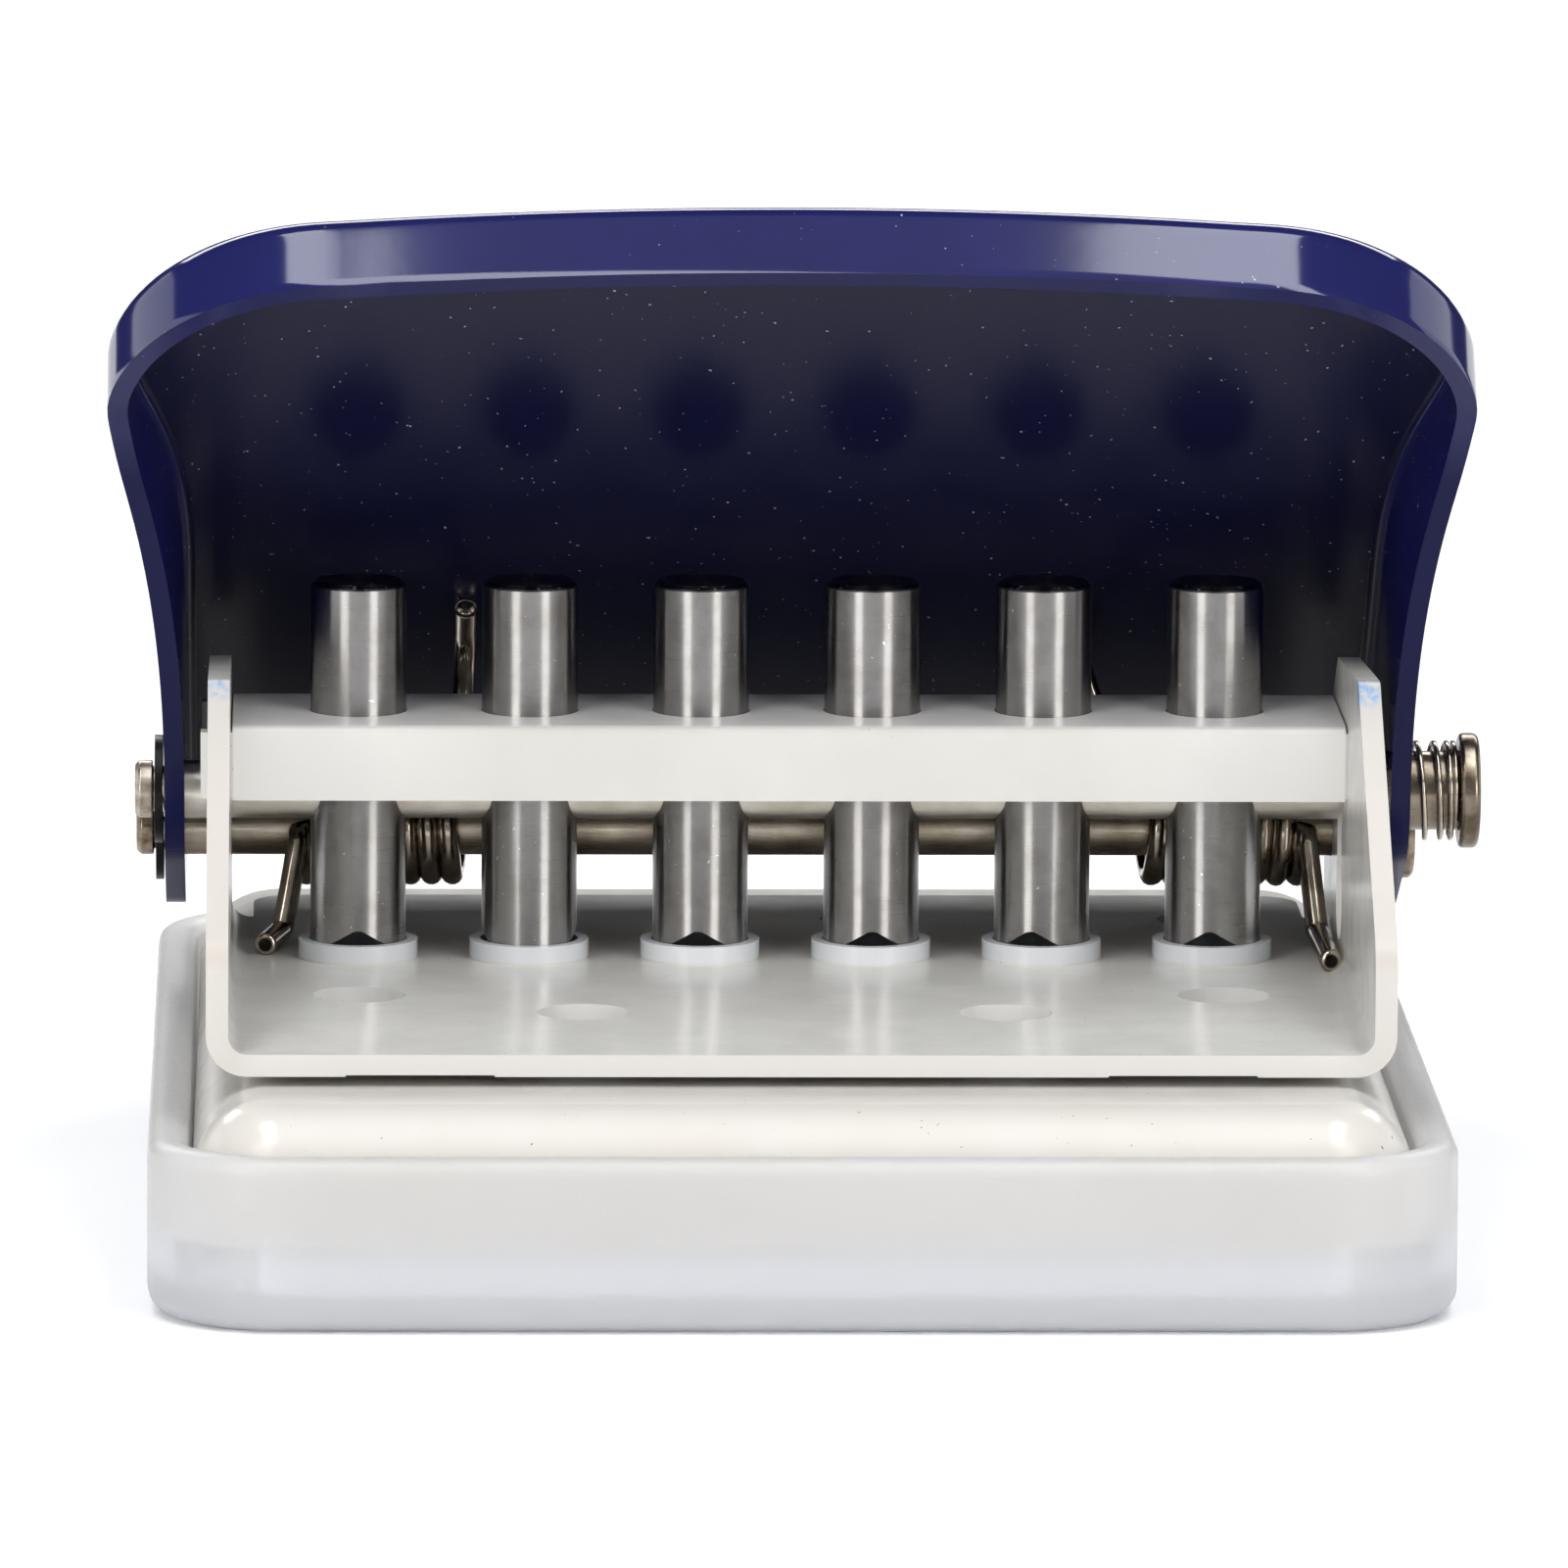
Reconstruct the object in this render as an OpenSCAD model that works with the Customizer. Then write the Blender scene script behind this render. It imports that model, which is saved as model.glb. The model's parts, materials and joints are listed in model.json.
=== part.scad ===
// Six-hole loose-leaf punch, drawn with its handle up.
// Millimetres. Origin: centre of the chip tray's underside. X to the right, Y to the back, Z up.
// Paper goes in from the front, between the frame's plate and the base pan.

/* [Punch pins] */
// Distance between neighbouring holes
pin_pitch = 9.5; // [8.5:0.1:12]
// Diameter of a punch pin
pin_d = 5.3; // [4.5:0.1:6]
// Length of a punch pin
pin_len = 20.8; // [19:0.1:24]
// Height of the pins' points above the frame's plate, handle up
pin_tip_z = 0.35; // [0.2:0.05:0.8]
// Depth of the V notch that makes the two cutting points
notch_depth = 1.6; // [0.8:0.1:2.2]
// Edge chamfer at a pin's top
pin_chamfer = 0.3; // [0.1:0.05:0.6]
// Radial running fit of the pins in their guides
pin_fit = 0.06; // [0.03:0.01:0.1]

/* [Frame] */
// Thickness of the frame's sheet
frame_t = 1.2; // [1:0.05:1.5]
// Inner radius of the frame's bends
frame_bend_r = 1; // [0.6:0.1:1.6]
// From the axis of an end pin to the cheek's inner face
pin_side_room = 7.05; // [6.6:0.05:10]
// From the pins to the plate's front edge
plate_front = 31; // [26:0.5:38]
// From the pins to the plate's rear edge
plate_rear = 20.3; // [18:0.1:26]
// Height of the cheeks at their front top corner, above the plate
cheek_h = 17.7; // [16.5:0.1:18]
// From the pins forward to the cheeks' front top corner
cheek_top_front = 14; // [12:0.5:18]
// From the pins back to the cheeks' rear top corner
cheek_top_rear = 3.3; // [1:0.1:5]
// Drop of the cheeks' top edge, front to rear
cheek_top_drop = 1.3; // [1.1:0.1:2.5]
// Height of the upright part of the cheeks' front edge
cheek_nose_h = 5.5; // [3:0.5:8]
// Height of the guide collars drawn up from the plate
collar_h = 1.05; // [0.6:0.05:1.5]
// Wall of a guide collar
collar_wall = 0.6; // [0.4:0.05:0.8]
// Diameter of the four sight holes
sight_d = 5.1; // [4:0.1:6]
// From the pins forward to the outer pair of sight holes
sight_outer_y = 12.4; // [11:0.1:14]
// From the pins forward to the inner pair of sight holes
sight_inner_y = 17.8; // [15:0.1:22]
// Half the distance between the inner sight holes
sight_inner_x = 11.5; // [8:0.5:16]

/* [Pin guide] */
// Depth of the upper guide channel, front to back
guide_d = 12; // [11:0.2:13]
// Height of the guide's folded flanges
guide_h = 4.15; // [3.6:0.05:5]
// Thickness of the guide's sheet
guide_t = 1.2; // [1:0.05:1.4]
// Height of the guide's lower edge above the plate
guide_z = 9.72; // [9.5:0.02:10.2]
// How far the guide's tenons stand out of the cheeks
tenon_proud = 0.45; // [0.1:0.05:0.6]

/* [Drive rod and pivot] */
// Diameter of the drive rod and of the pivot axle
rod_d = 3.2; // [2.8:0.1:3.4]
// Height of the drive rod above the plate, handle up
rod_z = 9.4; // [9:0.1:9.6]
// From the pins back to the pivot axle
axle_y = 8; // [7.5:0.1:9]
// Height of the pivot axle above the plate
axle_z = 6; // [5.6:0.1:6.4]
// Radial running fit of the rod and the axle
rod_fit = 0.06; // [0.03:0.01:0.1]
// Length of rod that stands out past the left clip
rod_stub = 1.1; // [0.6:0.1:2]
// Diameter of the axle's flat head
axle_head_d = 5.7; // [5:0.1:6.4]
// Thickness of the axle's flat head
axle_head_t = 0.85; // [0.5:0.05:1.2]
// Outer diameter of the two spring clips
clip_d = 6; // [5.4:0.1:6.4]
// Thickness of a spring clip
clip_t = 0.45; // [0.3:0.05:0.6]

/* [Lock button] */
// Diameter of the button's shank
shank_d = 4.4; // [4:0.1:4.8]
// Diameter of the button's head
button_d = 6.4; // [6:0.1:7.2]
// Thickness of the button's head
button_t = 1.1; // [0.8:0.1:1.6]
// Clear length between the handle and the button's head
button_gap = 2.9; // [2.6:0.1:3.6]
// How far the button goes in
button_travel = 1.8; // [1.2:0.1:2]
// Wire of the button's spring
lock_wire_d = 0.26; // [0.2:0.02:0.3]
// Turns of the button's spring
lock_turns = 3.5; // [3:0.5:3.5]

/* [Torsion springs] */
// Wire of the torsion springs
spring_wire_d = 1; // [0.8:0.05:1.1]
// Diameter of a coil, at the middle of its wire
spring_coil_d = 5.4; // [5:0.1:5.8]
// Whole turns in a coil, before the part turn between its legs
spring_turns = 6; // [4:1:6]
// Distance between neighbouring turns
spring_pitch = 1.45; // [1.45:0.05:1.6]
// From the left cheek to the end of the left coil
spring_left_room = 3.9; // [2.6:0.1:5]
// From the right cheek to the end of the right coil
spring_right_room = 1.6; // [1.5:0.1:4]

/* [Handle] */
// Tilt of the handle's top when the handle is up
handle_tilt = 45; // [42:0.5:48]
// Angle that the handle turns to punch
handle_travel = 40; // [32:0.5:40]
// From the pivot axle to the handle's front edge
handle_reach = 42; // [40:0.2:50]
// From the pivot axle to the handle's rear edge
handle_rear = 13; // [5:0.5:14]
// Height of the handle's top above the pivot axle
handle_top = 12.1; // [11.4:0.1:13]
// Thickness of the handle's sheet
handle_t = 1.1; // [0.9:0.05:1.2]
// Depth of the flange along the handle's front
flange_h = 5.3; // [3.6:0.05:6]
// How much wider each side is at the front than at the pivot
handle_flare = 3.4; // [1:0.1:5]
// Outer radius of the handle's drawn edge
handle_edge_r = 1.6; // [1.5:0.1:3]
// How far the front edge bows out
handle_bow = 1.3; // [0:0.1:3]
// Side clearance between the cheeks and the handle
handle_gap = 1.35; // [0.9:0.05:2]
// Radius of the ears round the pivot axle
ear_r = 4.3; // [3.6:0.1:4.6]

/* [Base] */
// Height of the paper slot
slot_h = 0.55; // [0.4:0.05:0.8]
// From the plate's front edge to the pan's front
pan_front_room = 8.3; // [6:0.1:12]
// From the plate's rear edge to the pan's rear
pan_rear_room = 16; // [10:0.5:20]
// How far the pan's sides stand outside the cheeks
pan_side_room = 0.7; // [0.2:0.1:2]
// Height of the base pan
pan_h = 7.05; // [6:0.05:8]
// Thickness of the pan's sheet
pan_t = 1; // [0.8:0.05:1.2]
// Radius of the pan's drawn top edge
pan_edge_r = 4; // [2.5:0.1:4.5]
// Corner radius of the pan, seen from above
pan_corner_r = 4.8; // [4.6:0.1:8]
// Radial clearance of the pins in the die holes
die_clear = 0.1; // [0.06:0.01:0.15]
// Clearance between the pan and the tray
tray_gap = 0.2; // [0.1:0.05:0.4]
// Thickness of the tray's wall
tray_wall = 2.2; // [1.4:0.1:2.6]
// Thickness of the tray's floor
tray_floor = 1.5; // [1:0.1:2]
// Height of the tray's wall
tray_h = 9.45; // [8.6:0.05:10]
// Radius of the tray's lower edge
tray_edge_r = 1.5; // [1:0.1:3]
// Width of the four corner posts that carry the pan
post_w = 4.8; // [3.5:0.1:6]
// Height of the corner posts above the floor
post_h = 2.95; // [2.4:0.05:4]

/* [Hidden] */
$fn = 64;
EPS = 0.01;
PIN_COUNT = 6;

// Widths across, from the pins outwards
end_pin_x = (PIN_COUNT - 1) * pin_pitch / 2;
cheek_in = end_pin_x + pin_side_room;
cheek_out = cheek_in + frame_t;
ear_in = cheek_out + handle_gap;
ear_out = ear_in + handle_t;
handle_half = ear_out + handle_flare;
pan_half = cheek_out + pan_side_room;
tray_half = pan_half + tray_gap + tray_wall;

// Depths, front to back; the tray is centred on the origin
tray_skin = tray_gap + tray_wall;
tray_front = plate_front + pan_front_room + tray_skin;
tray_back = plate_rear + pan_rear_room + tray_skin;
tray_d = tray_front + tray_back;
pin_y = (tray_front - tray_back) / 2;
pan_d = tray_d - 2 * tray_skin;
front_y = pin_y - plate_front;
rear_y = pin_y + plate_rear;

// Heights above the table
pan_seat_z = tray_floor + post_h;
pan_top_z = pan_seat_z + pan_h;
plate_under_z = pan_top_z + slot_h;
plate_z = plate_under_z + frame_t;
seat_gap = 0.1;

// The pivot and the drive rod
pivot = [0, pin_y + axle_y, plate_z + axle_z];
rod_at = [0, pin_y, plate_z + rod_z];
crank_r = norm([axle_y, rod_z - axle_z]);
crank_angle = atan2(rod_z - axle_z, axle_y);
pin_stroke = crank_r * (sin(crank_angle) - sin(crank_angle - handle_travel));
rod_groove_d = rod_d - 0.7;
clip_gap = 0.12;
clip_x = -ear_out - clip_gap - clip_t;
head_x = ear_out + clip_gap;

// The drive rod's place in the handle's own frame, u forward and v up from the pivot
function rod_u(tilt) = axle_y * cos(tilt) + rod_rise(tilt) * sin(tilt);
function rod_v(tilt) = rod_rise(tilt) * cos(tilt) - axle_y * sin(tilt);
function rod_rise(tilt) = rod_z - axle_z - pin_stroke * (handle_tilt - tilt) / handle_travel;
rod_path = [for (i = [0:8]) let (tilt = handle_tilt - handle_travel * i / 8) [rod_u(tilt), rod_v(tilt)]];
rod_u_lo = min([for (p = rod_path) p[0]]);
rod_u_hi = max([for (p = rod_path) p[0]]);
rod_v_lo = min([for (p = rod_path) p[1]]);
rod_v_hi = max([for (p = rod_path) p[1]]);
rod_slot_clear = 0.15;

// The lock button
button_x = ear_out + button_gap;
shank_room = 0.4;
shank_x = cheek_out + shank_room;
lobe_clear = 0.25;

// The handle's outline, seen from above
flare_start = 10;
flare_end = 28;
corner_x = handle_half - 13;
flare_power = 2.5;
brow_u = 1.6;
brow_drop = 0.12;

// A rounded rectangle, anticlockwise, as a list of points
function rounded_outline(w, d, r, steps = 6) = [
    for (c = [0:3], i = [0:steps])
    let (a = 180 + 90 * c + 90 * i / steps,
         sx = (c == 0 || c == 3) ? -1 : 1,
         sy = c < 2 ? -1 : 1)
    [sx * (w / 2 - r) + r * cos(a), sy * (d / 2 - r) + r * sin(a)]
];

// A closed anticlockwise outline moved in by a distance along its own normals
function moved_in(outline, distance) = [
    for (i = [0:len(outline) - 1])
    let (n = len(outline),
         run = outline[(i + 1) % n] - outline[(i + n - 1) % n],
         inward = [-run[1], run[0]] / norm(run))
    outline[i] + distance * inward
];

function at_height(outline, z) = [for (p = outline) [p[0], p[1], z]];

// Solid through rings of equal length, from the lowest to the highest
module loft(rings) {
    n = len(rings[0]);
    last = len(rings) - 1;
    sides = [for (k = [0:last - 1], i = [0:n - 1])
        let (a = k * n + i, b = k * n + (i + 1) % n)
        each [[a, a + n, b + n], [a, b + n, b]]];
    floor_face = [[for (i = [0:n - 1]) i]];
    roof_face = [[for (i = [n - 1:-1:0]) last * n + i]];
    polyhedron(points = [for (ring = rings) each ring], faces = concat(sides, floor_face, roof_face));
}

// Tube of round wire along a list of points
SIDES = 6;
function unit(v) = v / norm(v);
function directions(path) = [for (i = [0:len(path) - 1])
    unit(path[min(i + 1, len(path) - 1)] - path[max(i - 1, 0)])];
function square_to(v, direction) = unit(v - (v * direction) * direction);
function normals(along, first) = [
    for (i = 0, n = square_to(first, along[0]); i < len(along);
         i = i + 1, n = i < len(along) ? square_to(n, along[i]) : n) n
];
module wire(path, d, first) {
    along = directions(path);
    across = normals(along, first);
    last = len(path) - 1;
    points = [for (i = [0:last], s = [0:SIDES - 1])
        path[i] + d / 2 * (cos(360 * s / SIDES) * across[i]
                           + sin(360 * s / SIDES) * cross(along[i], across[i]))];
    sides = [for (i = [0:last - 1], s = [0:SIDES - 1])
        let (a = i * SIDES + s, b = i * SIDES + (s + 1) % SIDES)
        each [[a, a + SIDES, b + SIDES], [a, b + SIDES, b]]];
    start = [for (s = [1:SIDES - 2]) [0, s, s + 1]];
    tip = last * SIDES;
    end = [for (s = [1:SIDES - 2]) [tip, tip + s + 1, tip + s]];
    polyhedron(points = points, faces = concat(sides, start, end));
}

// Least clear distance between points of a path that lie more than a part turn apart
function self_gap(path, d, skip) = min([
    for (i = [0:len(path) - 1 - skip], j = [i + skip:len(path) - 1]) norm(path[i] - path[j])
]) - d;

// Rod along X from one place to another
module x_rod(x0, x1, d, y = 0, z = 0) {
    translate([x0, y, z]) rotate([0, 90, 0]) cylinder(d = d, h = x1 - x0);
}

// Slot along Z through the X range, as wide as its diameter
module z_slot(x0, x1, d, y, z0, z1) {
    x_rod(x0, x1, d, y, z0);
    x_rod(x0, x1, d, y, z1);
    translate([x0, y - d / 2, z0]) cube([x1 - x0, d, z1 - z0]);
}

// Outline drawn in Y and Z, pushed through along X
module side_plate(x0, x1) {
    translate([x0, 0, 0]) rotate([90, 0, 90]) linear_extrude(x1 - x0) children();
}

module at_pins() {
    for (i = [0:PIN_COUNT - 1]) translate([i * pin_pitch - end_pin_x, pin_y, 0]) children();
}

// Chip tray: a translucent open box with a soft lower edge and four corner posts
rim_r = 0.7;
EDGE_STEPS = 5;
tray_corner_r = pan_corner_r + tray_skin;
function tray_ring(inset, z) = at_height(
    rounded_outline(2 * (tray_half - inset), tray_d - 2 * inset, tray_corner_r - inset), z);
module chip_tray() {
    lower_edge = [for (k = [0:EDGE_STEPS]) let (a = 90 * k / EDGE_STEPS)
        tray_ring(tray_edge_r * (1 - sin(a)), tray_edge_r * (1 - cos(a)))];
    rim_out = [for (k = [0:EDGE_STEPS]) let (a = 90 * k / EDGE_STEPS)
        tray_ring(rim_r * (1 - cos(a)), tray_h - rim_r + rim_r * sin(a))];
    rim_in = [for (k = [EDGE_STEPS:-1:0]) let (a = 90 * k / EDGE_STEPS)
        tray_ring(tray_wall - rim_r * (1 - cos(90 - a)), tray_h - rim_r + rim_r * sin(90 - a))];
    inside = [tray_ring(tray_wall, tray_floor), each rim_in, tray_ring(tray_wall - rim_r, tray_h + 1)];
    color([0.86, 0.88, 0.93, 0.6]) {
        difference() {
            loft([each lower_edge, each rim_out]);
            loft(inside);
        }
        // The posts run into the wall and stay inside its outer face
        intersection() {
            loft([tray_ring(tray_wall / 2, tray_floor - EPS),
                  tray_ring(tray_wall / 2, pan_seat_z - seat_gap)]);
            for (sx = [-1, 1], sy = [-1, 1])
                translate([sx * (tray_half - tray_wall - post_w / 2),
                           sy * (tray_d / 2 - tray_wall - post_w / 2), pan_seat_z / 2])
                    cube([post_w + tray_wall, post_w + tray_wall, pan_seat_z], center = true);
        }
    }
}

// Base pan: drawn steel, open below, with the six die holes
function pan_ring(inset, z) = at_height(
    rounded_outline(2 * (pan_half - inset), pan_d - 2 * inset, pan_corner_r - inset), z);
function pan_skin(inset, edge_r, z0, z1) = [
    pan_ring(inset, z0),
    for (k = [0:EDGE_STEPS]) let (a = 90 * k / EDGE_STEPS)
        pan_ring(inset + edge_r * (1 - cos(a)), z1 - edge_r + edge_r * sin(a))
];
module base_pan() {
    color([0.93, 0.91, 0.87])
        difference() {
            loft(pan_skin(0, pan_edge_r, pan_seat_z, pan_top_z));
            loft(pan_skin(pan_t, pan_edge_r - pan_t, pan_seat_z - 1, pan_top_z - pan_t));
            at_pins() translate([0, 0, pan_seat_z]) cylinder(d = pin_d + 2 * die_clear, h = pan_h + 1);
            at_rivets() translate([0, 0, pan_seat_z]) cylinder(d = rivet_d + 2 * rivet_clear, h = pan_h + 1);
        }
}

// Paper stop: the strip behind the pins that also spaces the frame off the pan
stop_front = pin_d / 2 + 3.6;
stop_end = plate_rear - 1.5;
stop_half = end_pin_x + 3;
rivet_d = 3;
rivet_head_d = 4.8;
rivet_head_t = 0.55;
rivet_clear = 0.03;
rivet_y = pin_y + (stop_front + stop_end) / 2;
rivet_x = [-end_pin_x, -pin_pitch / 2, pin_pitch / 2, end_pin_x];
module at_rivets() {
    for (x = rivet_x) translate([x, rivet_y, 0]) children();
}
module paper_stop() {
    color([0.75, 0.76, 0.78])
        difference() {
            translate([-stop_half, pin_y + stop_front, pan_top_z])
                cube([2 * stop_half, stop_end - stop_front, slot_h]);
            at_rivets() translate([0, 0, pan_top_z - 1])
                cylinder(d = rivet_d + 2 * rivet_clear, h = slot_h + 2);
        }
}

// Rivets: flush in the plate, formed over under the pan
module frame_rivets() {
    under_z = pan_top_z - pan_t;
    color([0.8, 0.8, 0.8])
        at_rivets() {
            translate([0, 0, under_z - rivet_head_t]) cylinder(d = rivet_head_d, h = rivet_head_t);
            translate([0, 0, under_z - EPS])
                cylinder(d = rivet_d, h = plate_z - rivet_head_t - under_z + 2 * EPS);
            translate([0, 0, plate_z - rivet_head_t]) cylinder(d = rivet_head_d, h = rivet_head_t);
        }
}

// Frame: one bent sheet, a plate with guide collars and two cheeks
module trough(w, h, r) {
    translate([-w / 2, r]) square([w, h - r]);
    translate([-w / 2 + r, 0]) square([w - 2 * r, h]);
    for (sx = [-1, 1]) translate([sx * (w / 2 - r), r]) circle(r);
}
cheek_rear_foot = axle_y + 5;
cheek_rear_h = axle_z + 3.2;
nose_bend = 3;
tongue_half = cheek_in - frame_bend_r - 0.2;
tongue_r = 2.5;
tab_x = 20.5;
tab_w = 8;
tab_lift = 0.1;
tab_d = 1.6;
function arc(c, r, a0, a1, steps = 6) =
    [for (i = [0:steps]) c + r * [cos(a0 + (a1 - a0) * i / steps), sin(a0 + (a1 - a0) * i / steps)]];
// Rounds one corner of a path that runs anticlockwise
function corner(before, at, after, r) =
    let (a = unit(before - at),
         b = unit(after - at),
         half = acos(a * b) / 2,
         reach = r / tan(half),
         centre = at + unit(a + b) * r / sin(half),
         p = at + a * reach - centre,
         q = at + b * reach - centre,
         a0 = atan2(p[1], p[0]),
         turn = atan2(p[0] * q[1] - p[1] * q[0], p * q))
    arc(centre, r, a0, a0 + turn);
module cheek_side() {
    base = [[rear_y + 1, plate_under_z - 1], [rear_y + 1, plate_z]];
    foot = [pin_y + cheek_rear_foot, plate_z];
    hip = [pin_y + cheek_rear_foot, plate_z + cheek_rear_h];
    top_rear = [pin_y + cheek_top_rear, plate_z + cheek_h - cheek_top_drop];
    top_front = [pin_y - cheek_top_front, plate_z + cheek_h];
    nose = [front_y, plate_z + cheek_nose_h];
    toe = [front_y, plate_under_z - 1];
    polygon([each base, foot,
             each corner(foot, hip, top_rear, 2),
             each corner(hip, top_rear, top_front, 1.2),
             each corner(top_rear, top_front, nose, 0.9),
             each corner(top_front, nose, toe, nose_bend),
             toe]);
}
module punch_frame() {
    tall = frame_t + cheek_h + 1;
    slot_w = rod_d + 2 * rod_slot_clear;
    lobe_d = shank_d + 2 * lobe_clear;
    slot_low = plate_z + rod_z - pin_stroke;
    color([0.94, 0.93, 0.91])
        difference() {
            union() {
                intersection() {
                    translate([0, rear_y, plate_under_z]) rotate([90, 0, 0]) linear_extrude(rear_y - front_y)
                        difference() {
                            trough(2 * cheek_out, tall, frame_bend_r + frame_t);
                            translate([0, frame_t]) trough(2 * cheek_in, tall, frame_bend_r);
                        }
                    side_plate(-cheek_out - 1, cheek_out + 1) cheek_side();
                }
                at_pins() translate([0, 0, plate_under_z])
                    cylinder(d = pin_d + 2 * (pin_fit + collar_wall), h = frame_t + collar_h);
            }
            at_pins() translate([0, 0, plate_under_z - 1])
                cylinder(d = pin_d + 2 * pin_fit, h = frame_t + collar_h + 2);
            for (sx = [-1, 1]) {
                translate([sx * end_pin_x, pin_y - sight_outer_y, plate_under_z - 1])
                    cylinder(d = sight_d, h = frame_t + 2);
                translate([sx * sight_inner_x, pin_y - sight_inner_y, plate_under_z - 1])
                    cylinder(d = sight_d, h = frame_t + 2);
                // The plate narrows to a tongue behind the cheeks
                translate([sx * (tongue_half + 5) - 5, pin_y + cheek_rear_foot - EPS, plate_under_z - 1])
                    cube([10, plate_rear - cheek_rear_foot + 1, frame_t + 2]);
                tongue_corner(sx);
                // Two lead-ins lift the lower front edge
                translate([sx * tab_x - tab_w / 2, front_y - EPS, plate_under_z - EPS])
                    cube([tab_w, tab_d, tab_lift]);
                // Tenon slots for the pin guide
                for (sy = [-1, 1])
                    translate([sx * (cheek_in + frame_t / 2), pin_y + sy * (guide_d - guide_t) / 2,
                               plate_z + guide_z + tenon_h / 2 + tenon_drop])
                        cube([frame_t + 1, guide_t + 2 * tenon_clear, tenon_h + 2 * tenon_clear],
                             center = true);
            }
            at_rivets() translate([0, 0, plate_under_z - 1])
                cylinder(d = rivet_d + 2 * rivet_clear, h = frame_t + 1);
            at_rivets() translate([0, 0, plate_z - rivet_head_t])
                cylinder(d = rivet_head_d + 2 * rivet_clear, h = rivet_head_t + 1);
            x_rod(-cheek_out - 1, cheek_out + 1, rod_d + 2 * rod_fit, pivot[1], pivot[2]);
            z_slot(-cheek_out - 1, cheek_out + 1, slot_w, pin_y, slot_low, rod_at[2]);
            // The lock button's shank can drop into either end of the right slot
            for (z = [slot_low, rod_at[2]]) x_rod(cheek_in - 1, cheek_out + 1, lobe_d, pin_y, z);
        }
}
module tongue_corner(sx) {
    translate([sx * tongue_half, rear_y, plate_under_z - 1]) mirror([sx > 0 ? 0 : 1, 0, 0])
        translate([-tongue_r, -tongue_r, 0]) difference() {
            cube([tongue_r + 1, tongue_r + 1, frame_t + 2]);
            translate([0, 0, -1]) cylinder(r = tongue_r, h = frame_t + 4);
        }
}

// Pin guide: a folded channel whose flanges end in tenons through the cheeks
tenon_clear = 0.04;
tenon_h = guide_h - 0.5;
tenon_drop = 0.15;
guide_side_clear = 0.1;
guide_bend_r = 0.5;
guide_edge_r = 0.45;
module pin_guide() {
    top_z = plate_z + guide_z + guide_h;
    half = cheek_in - guide_side_clear;
    color([0.95, 0.94, 0.92])
        difference() {
            union() {
                side_plate(-half, half) translate([pin_y, top_z]) mirror([0, 1]) difference() {
                    trough(guide_d, guide_h, guide_edge_r);
                    translate([0, guide_t]) trough(guide_d - 2 * guide_t, guide_h, guide_bend_r);
                }
                for (sy = [-1, 1])
                    translate([0, pin_y + sy * (guide_d - guide_t) / 2,
                               plate_z + guide_z + tenon_h / 2 + tenon_drop])
                        cube([2 * (cheek_out + tenon_proud), guide_t, tenon_h], center = true);
            }
            at_pins() translate([0, 0, top_z - guide_h]) cylinder(d = pin_d + 2 * pin_fit, h = guide_h + 1);
        }
}

// Punch pin: turned rod with a chamfered top, a cross hole and a V notch at its cutting end
notch_apex_r = 0.7;
// The cutting ends are ground with the pins at different turns
notch_turn = [0, 90, -4, 0, -15, -6];
module punch_pin(i) {
    tip_z = plate_z + pin_tip_z;
    reach = pin_d / 2;
    slope = atan2(notch_depth, reach);
    apex_c = tip_z + notch_depth - notch_apex_r * (1 / cos(slope) - 1) - notch_apex_r;
    flank_x = notch_apex_r * sin(slope);
    flank_z = apex_c + notch_apex_r * cos(slope);
    color([0.68, 0.68, 0.7])
        translate([(i - 1) * pin_pitch - end_pin_x, pin_y, 0])
            difference() {
                translate([0, 0, tip_z]) rotate_extrude()
                    polygon([[0, 0], [reach, 0], [reach, pin_len - pin_chamfer],
                             [reach - pin_chamfer, pin_len], [0, pin_len]]);
                x_rod(-pin_d, pin_d, rod_d + 2 * rod_fit, 0, rod_at[2]);
                rotate(notch_turn[i - 1]) translate([0, pin_d, 0])
                    rotate([90, 0, 0]) linear_extrude(2 * pin_d) {
                    translate([0, apex_c]) circle(notch_apex_r);
                    polygon([[-flank_x, flank_z], [flank_x, flank_z],
                             [reach + 1, tip_z - tan(slope)], [reach + 1, tip_z - 3],
                             [-reach - 1, tip_z - 3], [-reach - 1, tip_z - tan(slope)]]);
                }
            }
}

// Drive rod: through every pin, both cheeks and both ears, with a clip groove at its left end
module grooved_rod(x1, y, z) {
    x0 = clip_x - rod_stub;
    end_chamfer = 0.25;
    translate([x0, y, z]) rotate([0, 90, 0]) rotate_extrude()
        polygon([[0, 0], [rod_d / 2 - end_chamfer, 0], [rod_d / 2, end_chamfer],
                 [rod_d / 2, rod_stub - clip_gap], [rod_groove_d / 2, rod_stub - clip_gap],
                 [rod_groove_d / 2, rod_stub + clip_t + clip_gap / 2],
                 [rod_d / 2, rod_stub + clip_t + clip_gap / 2],
                 [rod_d / 2, x1 - x0], [0, x1 - x0]]);
}
bore_end_x = button_x + button_t / 2;
module drive_rod() {
    color([0.62, 0.58, 0.52]) grooved_rod(bore_end_x - seat_gap, rod_at[1], rod_at[2]);
}

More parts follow.
